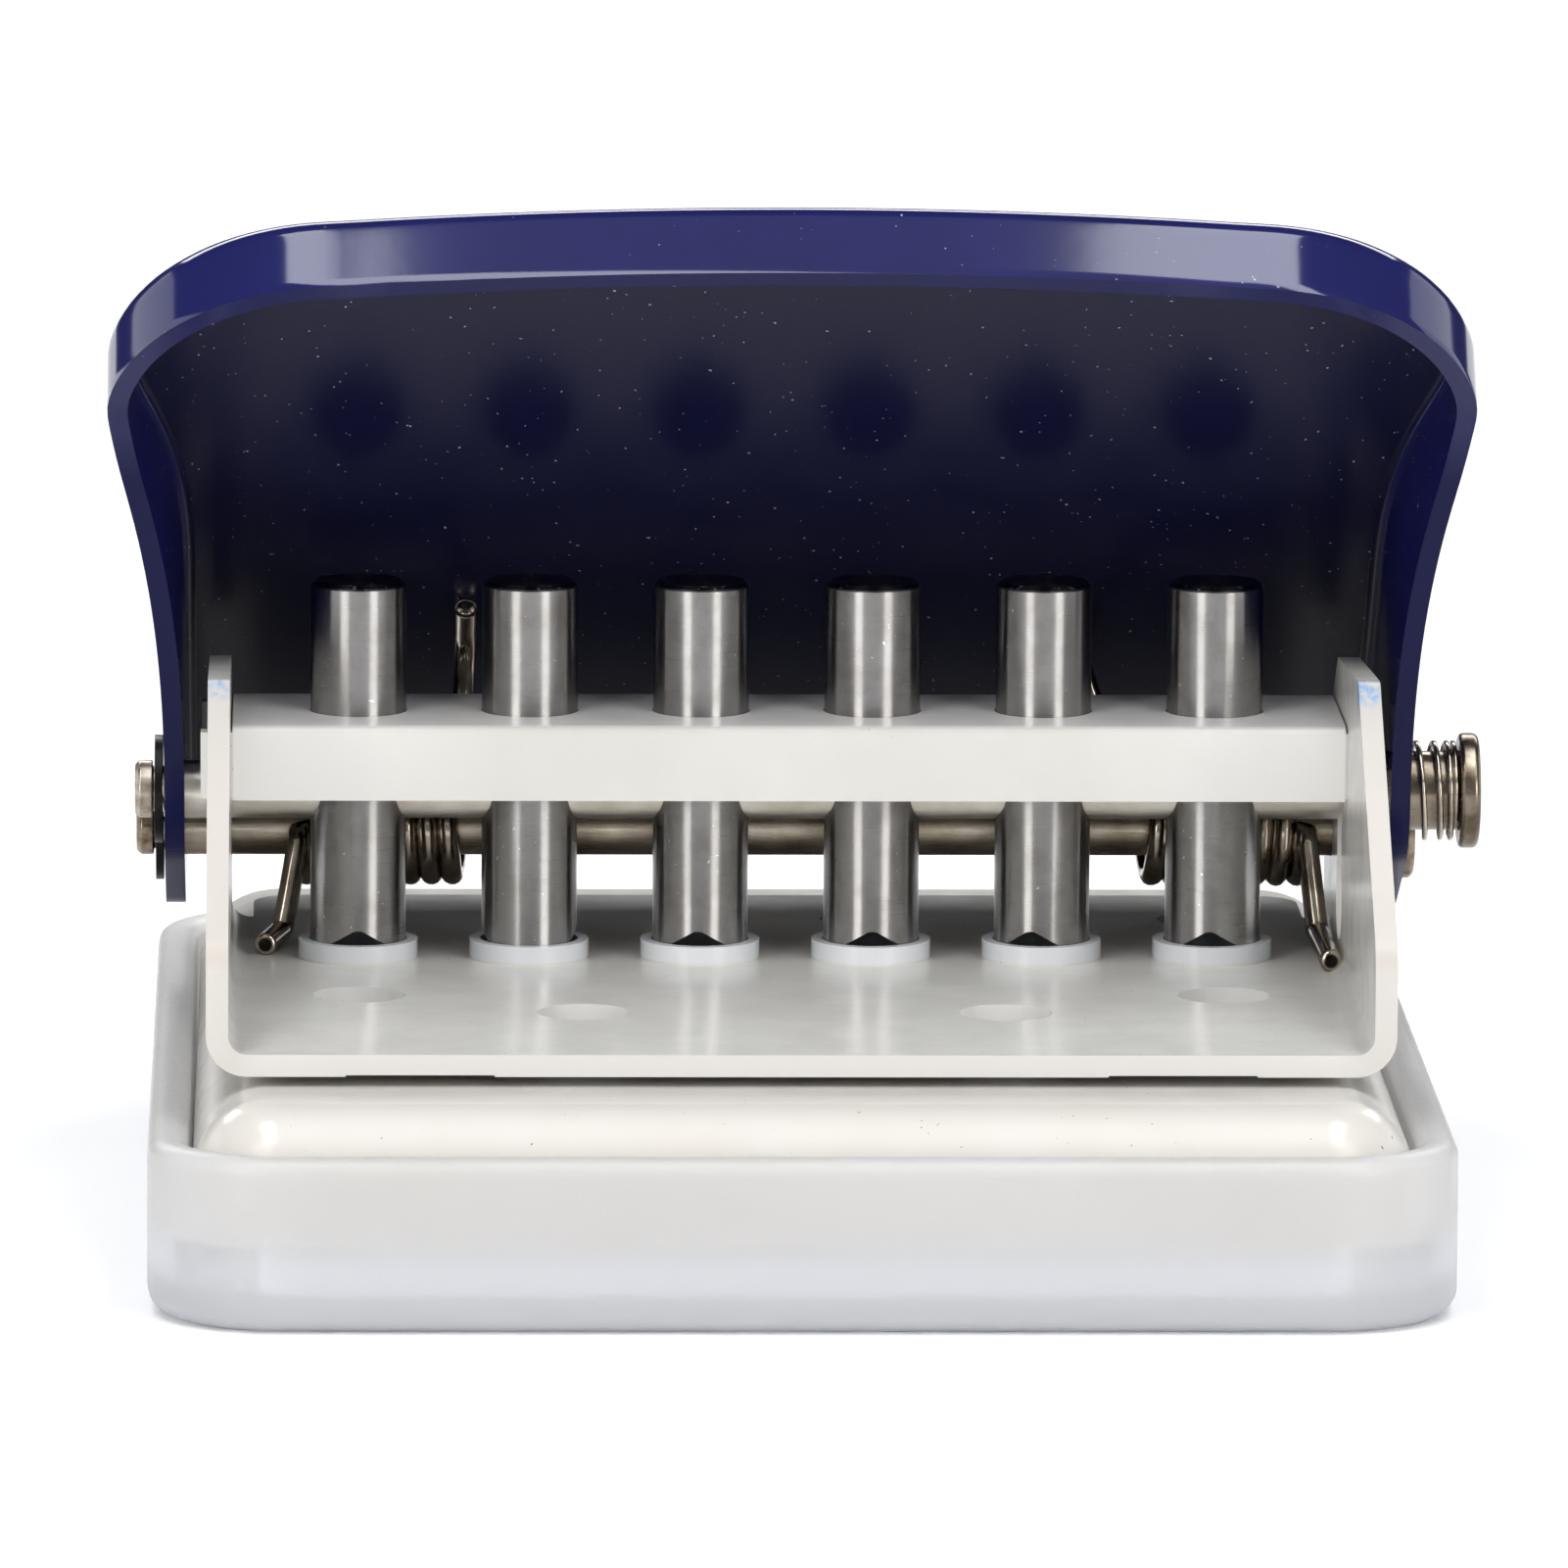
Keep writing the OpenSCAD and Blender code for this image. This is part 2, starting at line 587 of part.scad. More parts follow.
// Lock button: a sleeve with a domed head on the drive rod's right end
button_edge_r = 0.35;
module lock_button() {
    bore_clear = 0.02;
    length = button_x + button_t - shank_x;
    neck = button_x - shank_x;
    color([0.7, 0.66, 0.6])
        translate([shank_x, rod_at[1], rod_at[2]]) rotate([0, 90, 0]) difference() {
            rotate_extrude()
                polygon([[0, 0], [shank_d / 2 - 0.2, 0], [shank_d / 2, 0.2], [shank_d / 2, neck],
                         [button_d / 2 - 0.15, neck], [button_d / 2, neck + 0.15],
                         each arc([button_d / 2 - button_edge_r, length - button_edge_r],
                                  button_edge_r, 0, 90),
                         [0, length]]);
            translate([0, 0, -1]) cylinder(d = rod_d + 2 * bore_clear, h = bore_end_x - shank_x + 1);
        }
}

// Lock spring: an open coil of thin wire round the button's shank
lock_coil_r = shank_d / 2 + lock_wire_d / 2 + 0.35;
RINGS = 8;
lock_path = [for (i = [0:lock_turns * RINGS])
    let (f = i / (lock_turns * RINGS), a = 360 * i / RINGS,
         room = lock_wire_d / 2 + seat_gap)
    [ear_out + room + f * (button_gap - 2 * room),
     rod_at[1] + lock_coil_r * cos(a), rod_at[2] + lock_coil_r * sin(a)]];
module lock_spring() {
    echo(lock_spring_self_gap = self_gap(lock_path, lock_wire_d, RINGS - 1));
    color([0.5, 0.5, 0.5]) wire(lock_path, lock_wire_d, [0, 1, 0]);
}

// Spring clip: a flat ring, open on one side, with three lugs in the rod's groove
module spring_clip(y, z, opening) {
    ring_w = 0.95;
    lug_w = 1.3;
    groove_clear = 0.05;
    mouth = rod_groove_d;
    color([0.12, 0.12, 0.13])
        translate([clip_x, y, z]) rotate([opening, 0, 0]) rotate([90, 0, 90]) linear_extrude(clip_t)
            difference() {
                union() {
                    difference() {
                        circle(d = clip_d);
                        circle(d = clip_d - 2 * ring_w);
                    }
                    for (a = [0, 120, 240])
                        rotate(a) translate([0, -lug_w / 2]) square([clip_d / 2 - 0.3, lug_w]);
                }
                circle(d = rod_groove_d + 2 * groove_clear);
                rotate(180) translate([0, -mouth / 2]) square([clip_d, mouth]);
            }
}
module drive_rod_clip() { spring_clip(rod_at[1], rod_at[2], 100); }
module pivot_clip() { spring_clip(pivot[1], pivot[2], 250); }

// Pivot axle: through the ears, the cheeks and both torsion springs
module pivot_axle() {
    color([0.6, 0.56, 0.5]) {
        grooved_rod(head_x + EPS, pivot[1], pivot[2]);
        translate([head_x, pivot[1], pivot[2]]) rotate([0, 90, 0]) rotate_extrude()
            polygon([[0, 0], [axle_head_d / 2, 0], [axle_head_d / 2, axle_head_t - 0.25],
                     [axle_head_d / 2 - 0.25, axle_head_t], [0, axle_head_t]]);
    }
}

// Torsion spring: a foot on the plate, a coil round the axle, a leg bent along the handle's underside
coil_r = spring_coil_d / 2;
wire_r = spring_wire_d / 2;
spring_rest = 0.12;
heel_y = 4;
leg_run = 4.8;
leg_bend_u = 1.8;
function in_yz(x, v) = [x, v[0], v[1]];
function on_coil(x, a) = [x, pivot[1] + coil_r * cos(a), pivot[2] + coil_r * sin(a)];
// Angle on the coil where a straight leg to a place leaves it
function leaves(place, side) =
    let (away = place - [pivot[1], pivot[2]])
    atan2(away[1], away[0]) + side * acos(coil_r / norm(away));
// A place under the handle, u forward of the pivot and a wire's room below its underside
function under_handle(u) =
    let (v = handle_top - handle_t - wire_r - spring_rest)
    [pivot[1] - u * cos(handle_tilt) + v * sin(handle_tilt),
     pivot[2] + u * sin(handle_tilt) + v * cos(handle_tilt)];
function torsion_path(side, coil_end, foot_x, foot_y, heel_share, lean) =
    let (foot_z = plate_z + wire_r + spring_rest,
         heel = [pin_y + heel_y, foot_z],
         heel_x = coil_end + heel_share * (foot_x - coil_end),
         leg_bend = under_handle(leg_bend_u),
         leg_tip = under_handle(leg_bend_u + leg_run),
         a0 = leaves(heel, -1) + 360,
         a1 = leaves(leg_bend, -1) + 360 * (spring_turns + 1),
         steps = ceil((a1 - a0) / 360 * RINGS),
         length = spring_pitch * (a1 - a0) / 360,
         bend_x = coil_end - side * (length + lean),
         near_bend = leg_bend - 0.6 * unit(leg_bend - [pivot[1], pivot[2]]),
         past_bend = unit(leg_tip - leg_bend))
    [
        [foot_x, pin_y + foot_y, foot_z],
        [heel_x + (foot_x - heel_x) / 4, heel[0] - 0.8, foot_z],
        [heel_x, heel[0] + 0.3, foot_z + 0.15],
        for (i = [0:steps]) let (f = i / steps) on_coil(coil_end - side * length * f, a0 + (a1 - a0) * f),
        in_yz(bend_x, near_bend),
        in_yz(bend_x, leg_bend + 0.3 * past_bend),
        in_yz(bend_x, leg_bend + past_bend),
        in_yz(bend_x, leg_tip)
    ];
foot_left_x = -cheek_in + 1.9;
foot_right_x = cheek_in - 0.75;
spring_left_path = torsion_path(-1, -cheek_in + spring_left_room, foot_left_x, 0, 0.5, 0.5);
spring_right_path = torsion_path(1, cheek_in - spring_right_room, foot_right_x, -5, 0.8, 3.8);
module torsion_spring(path) {
    echo(torsion_spring_self_gap = self_gap(path, spring_wire_d, RINGS - 1));
    color([0.55, 0.5, 0.45]) wire(path, spring_wire_d, [0, 0, 1]);
}
module torsion_spring_left() { torsion_spring(spring_left_path); }
module torsion_spring_right() { torsion_spring(spring_right_path); }

// Handle: a drawn hood with a flange round its front and two ears, in its own frame at the pivot
function handle_side(u) =
    ear_out + handle_flare * pow(max(0, u - flare_start) / (flare_end - flare_start), flare_power);
BOW_STEPS = 5;
CORNER_STEPS = 12;
FLARE_STEPS = 8;
hood_extra = 4;
handle_corner_u = handle_reach - handle_bow;
handle_right = [
    for (i = [0:BOW_STEPS]) let (f = i / BOW_STEPS) [corner_x * f, -handle_reach + handle_bow * f * f],
    for (i = [0:CORNER_STEPS]) let (t = 84 - 78 * i / CORNER_STEPS)
        [corner_x + (handle_half - corner_x) * cos(t),
         -flare_end - (handle_corner_u - flare_end) * sin(t)],
    [handle_half - brow_drop * handle_flare, -flare_end + brow_u / 4],
    for (i = [0:FLARE_STEPS])
        let (u = flare_end - brow_u + (flare_start - flare_end + brow_u) * i / FLARE_STEPS)
        [handle_side(u), -u],
    [ear_out, handle_rear + hood_extra]
];
handle_plan = [
    each handle_right,
    for (i = [len(handle_right) - 1:-1:1]) [-handle_right[i][0], handle_right[i][1]]
];
function hood_skin(inset, edge_r, z0, z1) = [
    at_height(moved_in(handle_plan, inset), z0),
    for (k = [0:EDGE_STEPS]) let (a = 90 * k / EDGE_STEPS)
        at_height(moved_in(handle_plan, inset + edge_r * (1 - cos(a))), z1 - edge_r + edge_r * sin(a))
];
lobe_r = shank_d / 2 + 1.7;
flange_end = 28;
module handle_profile() {
    low = handle_top - flange_h;
    hull() {
        circle(ear_r, $fn = 32);
        for (u = [rod_u_lo, rod_u_hi]) translate([-u, (rod_v_lo + rod_v_hi) / 2]) circle(lobe_r, $fn = 32);
        polygon([[-flange_end, low], [handle_rear, low + 1.5], [handle_rear, handle_top + 1],
                 [-flange_end, handle_top + 1]]);
    }
    translate([-handle_reach - 1, low]) square([handle_reach + 1 - flange_end + EPS, flange_h + 1]);
}
module handle() {
    color([0.11, 0.1, 0.36])
        translate(pivot) rotate([-handle_tilt, 0, 0]) difference() {
            intersection() {
                difference() {
                    loft(hood_skin(0, handle_edge_r, -3 * ear_r, handle_top));
                    loft(hood_skin(handle_t, handle_edge_r - handle_t,
                                   -3 * ear_r - 1, handle_top - handle_t));
                }
                side_plate(-handle_half - 1, handle_half + 1) handle_profile();
            }
            x_rod(-ear_out - 1, ear_out + 1, rod_d + 2 * rod_fit);
            handle_slot(-ear_out - 1, 0, rod_d);
            handle_slot(0, ear_out + 1, shank_d);
        }
}
// Slot that lets the drive rod run straight while the ear swings
module handle_slot(x0, x1, d) {
    v = (rod_v_lo + rod_v_hi) / 2;
    slot_d = d + (rod_v_hi - rod_v_lo) + 2 * rod_slot_clear;
    for (u = [rod_u_lo, rod_u_hi]) x_rod(x0, x1, slot_d, -u, v);
    translate([x0, -rod_u_hi, v - slot_d / 2]) cube([x1 - x0, rod_u_hi - rod_u_lo, slot_d]);
}

chip_tray();
base_pan();
paper_stop();
punch_frame();
frame_rivets();
pin_guide();
for (i = [1:PIN_COUNT]) punch_pin(i);
drive_rod();
lock_button();
lock_spring();
drive_rod_clip();
pivot_axle();
pivot_clip();
torsion_spring_left();
torsion_spring_right();
handle();
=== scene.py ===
"""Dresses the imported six-hole punch in paint, steel, wire and frosted plastic, in a small studio.

Lengths are in millimetres until they reach Blender, which gets metres in the part's own frame:
X to the right, Y to the back, Z up, origin under the middle of the chip tray.
"""

import json
import math

import bmesh
import bpy
from mathutils import Matrix, Vector


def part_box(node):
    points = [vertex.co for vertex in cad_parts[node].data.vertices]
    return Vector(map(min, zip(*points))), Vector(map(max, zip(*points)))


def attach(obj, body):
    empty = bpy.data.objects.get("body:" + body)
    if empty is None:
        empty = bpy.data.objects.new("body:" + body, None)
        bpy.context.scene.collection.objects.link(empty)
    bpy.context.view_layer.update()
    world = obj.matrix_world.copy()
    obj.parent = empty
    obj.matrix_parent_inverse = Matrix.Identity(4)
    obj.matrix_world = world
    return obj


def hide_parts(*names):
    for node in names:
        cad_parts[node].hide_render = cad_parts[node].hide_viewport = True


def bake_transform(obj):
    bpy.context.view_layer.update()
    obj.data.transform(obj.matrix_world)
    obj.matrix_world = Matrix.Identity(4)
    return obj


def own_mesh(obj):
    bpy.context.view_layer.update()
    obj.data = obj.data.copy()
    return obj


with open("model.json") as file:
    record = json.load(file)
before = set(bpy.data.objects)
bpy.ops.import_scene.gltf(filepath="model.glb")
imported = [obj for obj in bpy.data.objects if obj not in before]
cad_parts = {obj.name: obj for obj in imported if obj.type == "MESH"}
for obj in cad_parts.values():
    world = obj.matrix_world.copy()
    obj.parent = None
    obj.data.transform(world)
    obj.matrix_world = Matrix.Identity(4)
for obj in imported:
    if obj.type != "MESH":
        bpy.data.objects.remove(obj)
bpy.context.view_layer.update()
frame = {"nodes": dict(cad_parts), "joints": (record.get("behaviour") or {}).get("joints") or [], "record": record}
MM = 0.001

# Places that the frame gives
hinge = next(j for j in frame["joints"] if j["name"] == "handle_hinge")
PIVOT = Vector(hinge["pos_m"]) / MM
PIN_LOW, PIN_HIGH = (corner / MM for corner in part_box("punch_pin_1"))
PIN_Y = (PIN_LOW.y + PIN_HIGH.y) / 2
PIN_TIP_RISE, PIN_BLACK = 0.35, 0.28
PLATE_Z = PIN_LOW.z - PIN_TIP_RISE
TRAY_LOW, TRAY_HIGH = (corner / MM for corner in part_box("chip_tray"))
PAN_LOW, PAN_HIGH = (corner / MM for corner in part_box("base_pan"))
HANDLE_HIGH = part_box("handle")[1] / MM
ROD_LOW, ROD_HIGH = (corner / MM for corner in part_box("drive_rod"))
ROD_Z = (ROD_LOW.z + ROD_HIGH.z) / 2
BODY_OF = {n: b for b, ns in frame["record"]["behaviour"]["bodies"].items() for n in ns}


# Materials

class Surface:
    """One material, with short ways to add and join its nodes."""

    def __init__(self, name):
        self.material = bpy.data.materials.new(name)
        self.material.use_nodes = True
        self.tree = self.material.node_tree
        self.bsdf = next(n for n in self.tree.nodes if n.type == "BSDF_PRINCIPLED")
        own = self.node("ShaderNodeTexCoord").outputs
        self.place, self.normal = own["Object"], own["Normal"]

    def node(self, kind, **values):
        made = self.tree.nodes.new(kind)
        for key, value in values.items():
            setattr(made, key, value)
        return made

    def put(self, value, socket):
        """Joins an output to a socket, or sets a constant on it."""
        if isinstance(value, bpy.types.NodeSocket):
            self.tree.links.new(value, socket)
        else:
            socket.default_value = value

    def set(self, **values):
        names = {"color": "Base Color", "rough": "Roughness", "metal": "Metallic", "ior": "IOR",
                 "transmission": "Transmission Weight", "specular": "Specular IOR Level",
                 "anisotropic": "Anisotropic", "turn": "Anisotropic Rotation", "tangent": "Tangent"}
        for key, value in values.items():
            self.put(value, self.bsdf.inputs[names[key]])

    def stretched(self, x, y, z):
        """The object's own coordinates, scaled apart along each axis, in 1/mm."""
        mapping = self.node("ShaderNodeMapping")
        self.put(self.place, mapping.inputs["Vector"])
        mapping.inputs["Scale"].default_value = (x / MM, y / MM, z / MM)
        return mapping.outputs["Vector"]

    def noise(self, size, detail=3.0, rough=0.55, vector=None):
        """Noise whose lumps are about size mm across."""
        made = self.node("ShaderNodeTexNoise")
        self.put(self.place if vector is None else vector, made.inputs["Vector"])
        made.inputs["Scale"].default_value = (1 / (size * MM)) if vector is None else 1 / size
        made.inputs["Detail"].default_value = detail
        made.inputs["Roughness"].default_value = rough
        return made.outputs["Fac"]

    def step(self, value, low, high, to_low=0.0, to_high=1.0):
        """Maps low..high to to_low..to_high, held at the ends."""
        made = self.node("ShaderNodeMapRange")
        self.put(value, made.inputs["Value"])
        for name, number in (("From Min", low), ("From Max", high), ("To Min", to_low), ("To Max", to_high)):
            made.inputs[name].default_value = number
        return made.outputs["Result"]

    def math(self, operation, a, b=0.0):
        made = self.node("ShaderNodeMath", operation=operation)
        self.put(a, made.inputs[0])
        self.put(b, made.inputs[1])
        return made.outputs[0]

    def mix(self, share, a, b):
        made = self.node("ShaderNodeMix", data_type="RGBA")
        self.put(share, made.inputs["Factor"])
        colours = [s for s in made.inputs if s.type == "RGBA"]
        self.put(a, colours[0])
        self.put(b, colours[1])
        return next(s for s in made.outputs if s.type == "RGBA")

    def near(self, centre, radius, soft):
        """1 inside a ball round a place in mm, fading to 0 over soft mm."""
        made = self.node("ShaderNodeVectorMath", operation="DISTANCE")
        self.put(self.place, made.inputs[0])
        made.inputs[1].default_value = Vector(centre) * MM
        return self.step(made.outputs["Value"], (radius - soft) * MM, (radius + soft) * MM, 1.0, 0.0)

    def facing(self, direction):
        """How far the surface looks along a direction of its own frame, -1 to 1."""
        made = self.node("ShaderNodeVectorMath", operation="DOT_PRODUCT")
        self.put(self.normal, made.inputs[0])
        made.inputs[1].default_value = direction
        return made.outputs["Value"]

    def along(self, direction):
        """Distance of a place along a direction, from the origin."""
        made = self.node("ShaderNodeVectorMath", operation="DOT_PRODUCT")
        self.put(self.place, made.inputs[0])
        made.inputs[1].default_value = direction
        return made.outputs["Value"]

    def axis(self, name):
        """A place's X, Y or Z."""
        made = self.node("ShaderNodeSeparateXYZ")
        self.put(self.place, made.inputs[0])
        return made.outputs[name]

    def both(self, a, b):
        """1 where two masks are both 1."""
        return self.math("MULTIPLY", a, b)

    def past(self, value, place, soft=0.1):
        """0 below a place in mm, 1 above it, over soft mm."""
        return self.step(value, place * MM, (place + soft) * MM)

    def short_of(self, value, place, soft=0.1):
        """1 below a place in mm, 0 above it, over soft mm."""
        return self.step(value, place * MM, (place + soft) * MM, 1.0, 0.0)

    def off_middle(self):
        """Distance from the plane that halves the punch."""
        return self.math("ABSOLUTE", self.axis("X"))

    def tint(self):
        """What now feeds the base colour."""
        return self.bsdf.inputs["Base Color"].links[0].from_socket

    def bump(self, height, depth):
        """Bump of a height map whose full swing is depth mm."""
        made = self.node("ShaderNodeBump")
        made.inputs["Strength"].default_value = 1.0
        made.inputs["Distance"].default_value = depth * MM
        self.put(height, made.inputs["Height"])
        self.put(made.outputs["Normal"], self.bsdf.inputs["Normal"])


def rgb(red, green, blue):
    """sRGB bytes as a linear colour."""
    def linear(byte):
        c = byte / 255
        return c / 12.92 if c <= 0.04045 else ((c + 0.055) / 1.055) ** 2.4
    return (linear(red), linear(green), linear(blue), 1.0)


def paint(name, colour, shade, rough, peel, dust, dust_colour):
    """Sprayed enamel: slow colour drift, orange peel and settled specks."""
    s = Surface(name)
    drift = s.step(s.noise(9.0, 2.0), 0.35, 0.65)
    base = s.mix(drift, colour, shade)
    specks = s.step(s.noise(0.3, 1.0, 0.4), dust, dust + 0.02)
    patches = s.step(s.noise(5.0, 2.0), 0.5, 0.6)
    base = s.mix(s.both(specks, patches), base, dust_colour)
    s.set(color=base, rough=s.step(s.noise(3.0), 0.3, 0.7, rough * 0.85, rough * 1.2), ior=1.52)
    s.bump(s.noise(0.9, 2.0), peel)
    return s, base


def steel(name, colour, shade, rough, grain, depth):
    """Bare metal with a fine drawn or ground grain, given as lump sizes in mm along X, Y and Z."""
    s = Surface(name)
    lines = s.noise(1.0, 4.0, 0.6, s.stretched(*(1 / g for g in grain)))
    stain = s.step(s.noise(2.6, 4.0), 0.42, 0.72)
    s.set(color=s.mix(stain, colour, shade), metal=1.0,
          rough=s.step(lines, 0.3, 0.7, rough * 0.75, rough * 1.3))
    s.bump(lines, depth)
    return s


def ground_pin(name):
    """Ground steel: grinding marks round the pin, scattered nicks and a blackened upper end."""
    s = Surface(name)
    marks = s.noise(1.0, 3.0, 0.6, s.stretched(1 / 4.0, 1 / 4.0, 1 / 0.06))
    stain = s.step(s.noise(1.6, 4.0), 0.45, 0.75)
    black_end = s.past(s.axis("Z"), PIN_HIGH.z - PIN_BLACK)
    nicks = s.step(s.noise(0.3, 1.0, 0.4), 0.775, 0.79)
    base = s.mix(stain, rgb(159, 157, 156), rgb(142, 139, 136))
    base = s.mix(s.math("MULTIPLY", nicks, 0.7), base, rgb(238, 238, 236))
    glints = s.step(s.noise(0.35, 2.0, 0.5), 0.63, 0.66)
    base = s.mix(black_end, base, s.mix(glints, rgb(44, 44, 48), rgb(150, 150, 152)))
    tangent = s.node("ShaderNodeTangent", direction_type="RADIAL", axis="Z")
    s.set(color=base, metal=1.0, rough=s.step(marks, 0.3, 0.7, 0.27, 0.32), anisotropic=0.9, turn=0.25,
          tangent=tangent.outputs["Tangent"])
    s.bump(marks, 0.0006)
    return s


# Places and directions on the painted pieces
HANDLE_TILT = math.radians(45)
LID = Vector((0, math.sin(HANDLE_TILT), math.cos(HANDLE_TILT)))
LID_HEIGHT = PIVOT.dot(LID)
HOOD_INSIDE, HOOD_EARS = LID_HEIGHT + 7.5, LID_HEIGHT + 5.0
EAR_EDGES_LOOK, CHEEK_SLOPES_LOOK, FRONT, UP = (0, -0.8, -0.6), (0, -0.8, 0.6), (0, -1, 0), (0, 0, 1)
FRONT_EDGES_Y, CHEEK_FOOT_X = -9.0, 28.6
COLLAR_FOOT, COLLAR_TOP, COLLAR_ROW_HALF = PLATE_Z + 0.03, PLATE_Z + 1.6, 29.0
GUIDE_TOP, GUIDE_FOOT, GUIDE_HALF, GUIDE_ENDS_X = PIN_HIGH.z - 8.0, PIN_HIGH.z - 12.4, 30.6, 16.0
SIGHT_HOLES = ((-23.75, -12.4), (-11.5, -17.8), (11.5, -17.8), (23.75, -12.4))
CHEEK_X, RUB_Y, RUB_Z, RUB_SOFT = 31.4, -12.7, 30.3, 0.5
RUB_R = {-1: 0.8, 1: 1.2}
ROD_END_X = 34.5


def navy_enamel():
    """Handle paint: glossy outside, duller and linty inside, dull on the ears' cut edges; the inside and those
    edges darkened as painted shade.
    """
    s, base = paint("navy_enamel", rgb(24, 26, 82), rgb(22, 24, 75), 0.1, 0.0012, 0.778, rgb(150, 152, 170))
    height = s.along(LID)
    inside = s.both(s.step(s.facing(-LID), 0.3, 0.8), s.past(height, HOOD_INSIDE, 1.5))
    ear_edges = s.both(s.step(s.facing(EAR_EDGES_LOOK), 0.3, 0.6), s.short_of(height, HOOD_EARS, 3.0))
    # Painted shade: the ears' down-facing cut edges are coloured darker navy
    base = s.mix(ear_edges, base, rgb(16, 17, 56))
    lint = s.step(s.noise(0.28, 1.0, 0.4), 0.775, 0.795)
    # Painted shade: the hood's inside is coloured darker navy; the light lint specks on it are real
    base = s.mix(inside, base, s.mix(lint, rgb(15, 16, 47), rgb(150, 152, 165)))
    gloss = s.math("SUBTRACT", s.step(inside, 0.0, 1.0, 0.5, 0.4), s.step(ear_edges, 0.0, 1.0, 0.0, 0.35))
    s.set(color=base, rough=s.step(inside, 0.0, 1.0, 0.1, 0.22), ior=1.47, specular=gloss)
    return s


def white_enamel():
    """Frame and guide paint: warm edges with painted shade, pale blue collars with painted cool light, painted
    shade on cheek slopes, painted light on the guide, blue rubs.
    """
    s, base = paint("white_enamel", rgb(215, 214, 210), rgb(211, 209, 205), 0.22, 0.008, 0.76,
                    rgb(130, 125, 120))
    height, off_middle = s.axis("Z"), s.off_middle()
    forward, front = s.short_of(s.axis("Y"), FRONT_EDGES_Y, 2.0), s.step(s.facing(FRONT), 0.4, 0.8)
    front_edge_shade_and_tint = s.both(front, forward)
    # Front edges: a warmer tint of their own, also darkened as painted shade, most at the cheeks' feet
    base = s.mix(front_edge_shade_and_tint, base, rgb(209, 207, 204))
    base = s.mix(s.both(front_edge_shade_and_tint, s.past(off_middle, CHEEK_FOOT_X, 2.0)), base, rgb(202, 198, 193))
    # Painted shade: the cheeks' forward-up slopes are coloured darker
    base = s.mix(s.both(s.step(s.facing(CHEEK_SLOPES_LOOK), 0.9, 0.97), forward), base, rgb(195, 189, 182))
    # Collars: pale blue, partly their own paint and partly painted cool light
    collars = s.both(s.past(height, COLLAR_FOOT, 0.17), s.short_of(height, COLLAR_TOP))
    base = s.mix(s.both(collars, s.short_of(off_middle, COLLAR_ROW_HALF, 0.2)), base, rgb(218, 221, 226))
    # Painted light: the guide's upward top between the cheeks is coloured paler
    guide_top = s.both(s.past(height, GUIDE_TOP), s.step(s.facing(UP), 0.9, 0.99))
    between = s.short_of(off_middle, GUIDE_HALF, 0.15)
    base = s.mix(s.both(guide_top, between), base, rgb(250, 249, 248))
    # Painted light: the guide front's ends, shaded by the cheeks, are coloured paler
    guide_front = s.both(front, s.past(height, GUIDE_FOOT))
    guide_ends = s.both(s.past(off_middle, GUIDE_ENDS_X, 13.0), between)
    base = s.mix(s.both(guide_front, guide_ends), base, rgb(238, 236, 233))
    smear = s.step(s.noise(0.6, 3.0, 0.6), 0.4, 0.62)
    for side, radius in RUB_R.items():
        rubbed = s.both(s.near((side * CHEEK_X, RUB_Y, RUB_Z), radius, RUB_SOFT), smear)
        base = s.mix(rubbed, base, rgb(128, 168, 214))
    s.set(color=base)
    return s


def cream_enamel():
    """Pan paint, coloured paler as painted light where it lies in shade under the plate's sight holes."""
    s, base = paint("cream_enamel", rgb(207, 203, 198), rgb(204, 200, 193), 0.22, 0.006, 0.76,
                    rgb(120, 100, 80))
    # Painted light: the pan under each sight hole is coloured near white
    for x, y in SIGHT_HOLES:
        base = s.mix(s.near((x, PIN_Y + y, PAN_HIGH.z), 3.4, 0.4), base, rgb(250, 251, 252))
    s.set(color=base)
    return s


def worn_ends(s, colour, shade):
    """Dull, blotched ends on a rod, outside the handle's ears."""
    worn = s.past(s.off_middle(), ROD_END_X, 0.2)
    blotch = s.step(s.noise(0.9, 3.0), 0.4, 0.65)
    s.set(color=s.mix(worn, s.tint(), s.mix(blotch, colour, shade)))
    return s


def frosted(name):
    """Milky moulded plastic, warmer where the pan stands behind it."""
    s = Surface(name)
    cloud = s.step(s.noise(14.0, 3.0), 0.35, 0.65)
    backed = s.past(s.axis("Z"), PAN_LOW.z - 0.9, 1.8)
    tint = s.mix(backed, rgb(245, 247, 252), rgb(236, 234, 232))
    s.set(color=s.mix(s.math("MULTIPLY", cloud, 0.3), tint, rgb(244, 245, 248)),
          rough=s.step(s.noise(0.5, 2.0), 0.3, 0.7, 0.34, 0.46), transmission=0.55, ior=1.4)
    s.bump(s.noise(0.25, 2.0), 0.006)
    return s


navy, white, cream = navy_enamel(), white_enamel(), cream_enamel()
pin_steel = ground_pin("ground_steel")
DRAWN, ROLLED, WIRE, FINE = (3.0, 0.08, 0.08), (0.8, 0.5, 0.5), (0.3, 0.3, 0.3), (0.2, 0.2, 0.2)
bright_nickel = worn_ends(steel("bright_nickel", rgb(238, 232, 222), rgb(214, 206, 192), 0.34, DRAWN, 0.003),
                          rgb(192, 182, 168), rgb(138, 125, 109))
axle_steel = worn_ends(steel("oiled_axle_steel", rgb(210, 199, 182), rgb(168, 153, 134), 0.3, DRAWN, 0.004),
                       rgb(144, 131, 113), rgb(92, 78, 62))
nickel = steel("dull_nickel", rgb(140, 129, 114), rgb(76, 64, 51), 0.24, ROLLED, 0.004)
wire_steel = steel("spring_wire", rgb(184, 173, 158), rgb(86, 74, 62), 0.15, WIRE, 0.003)
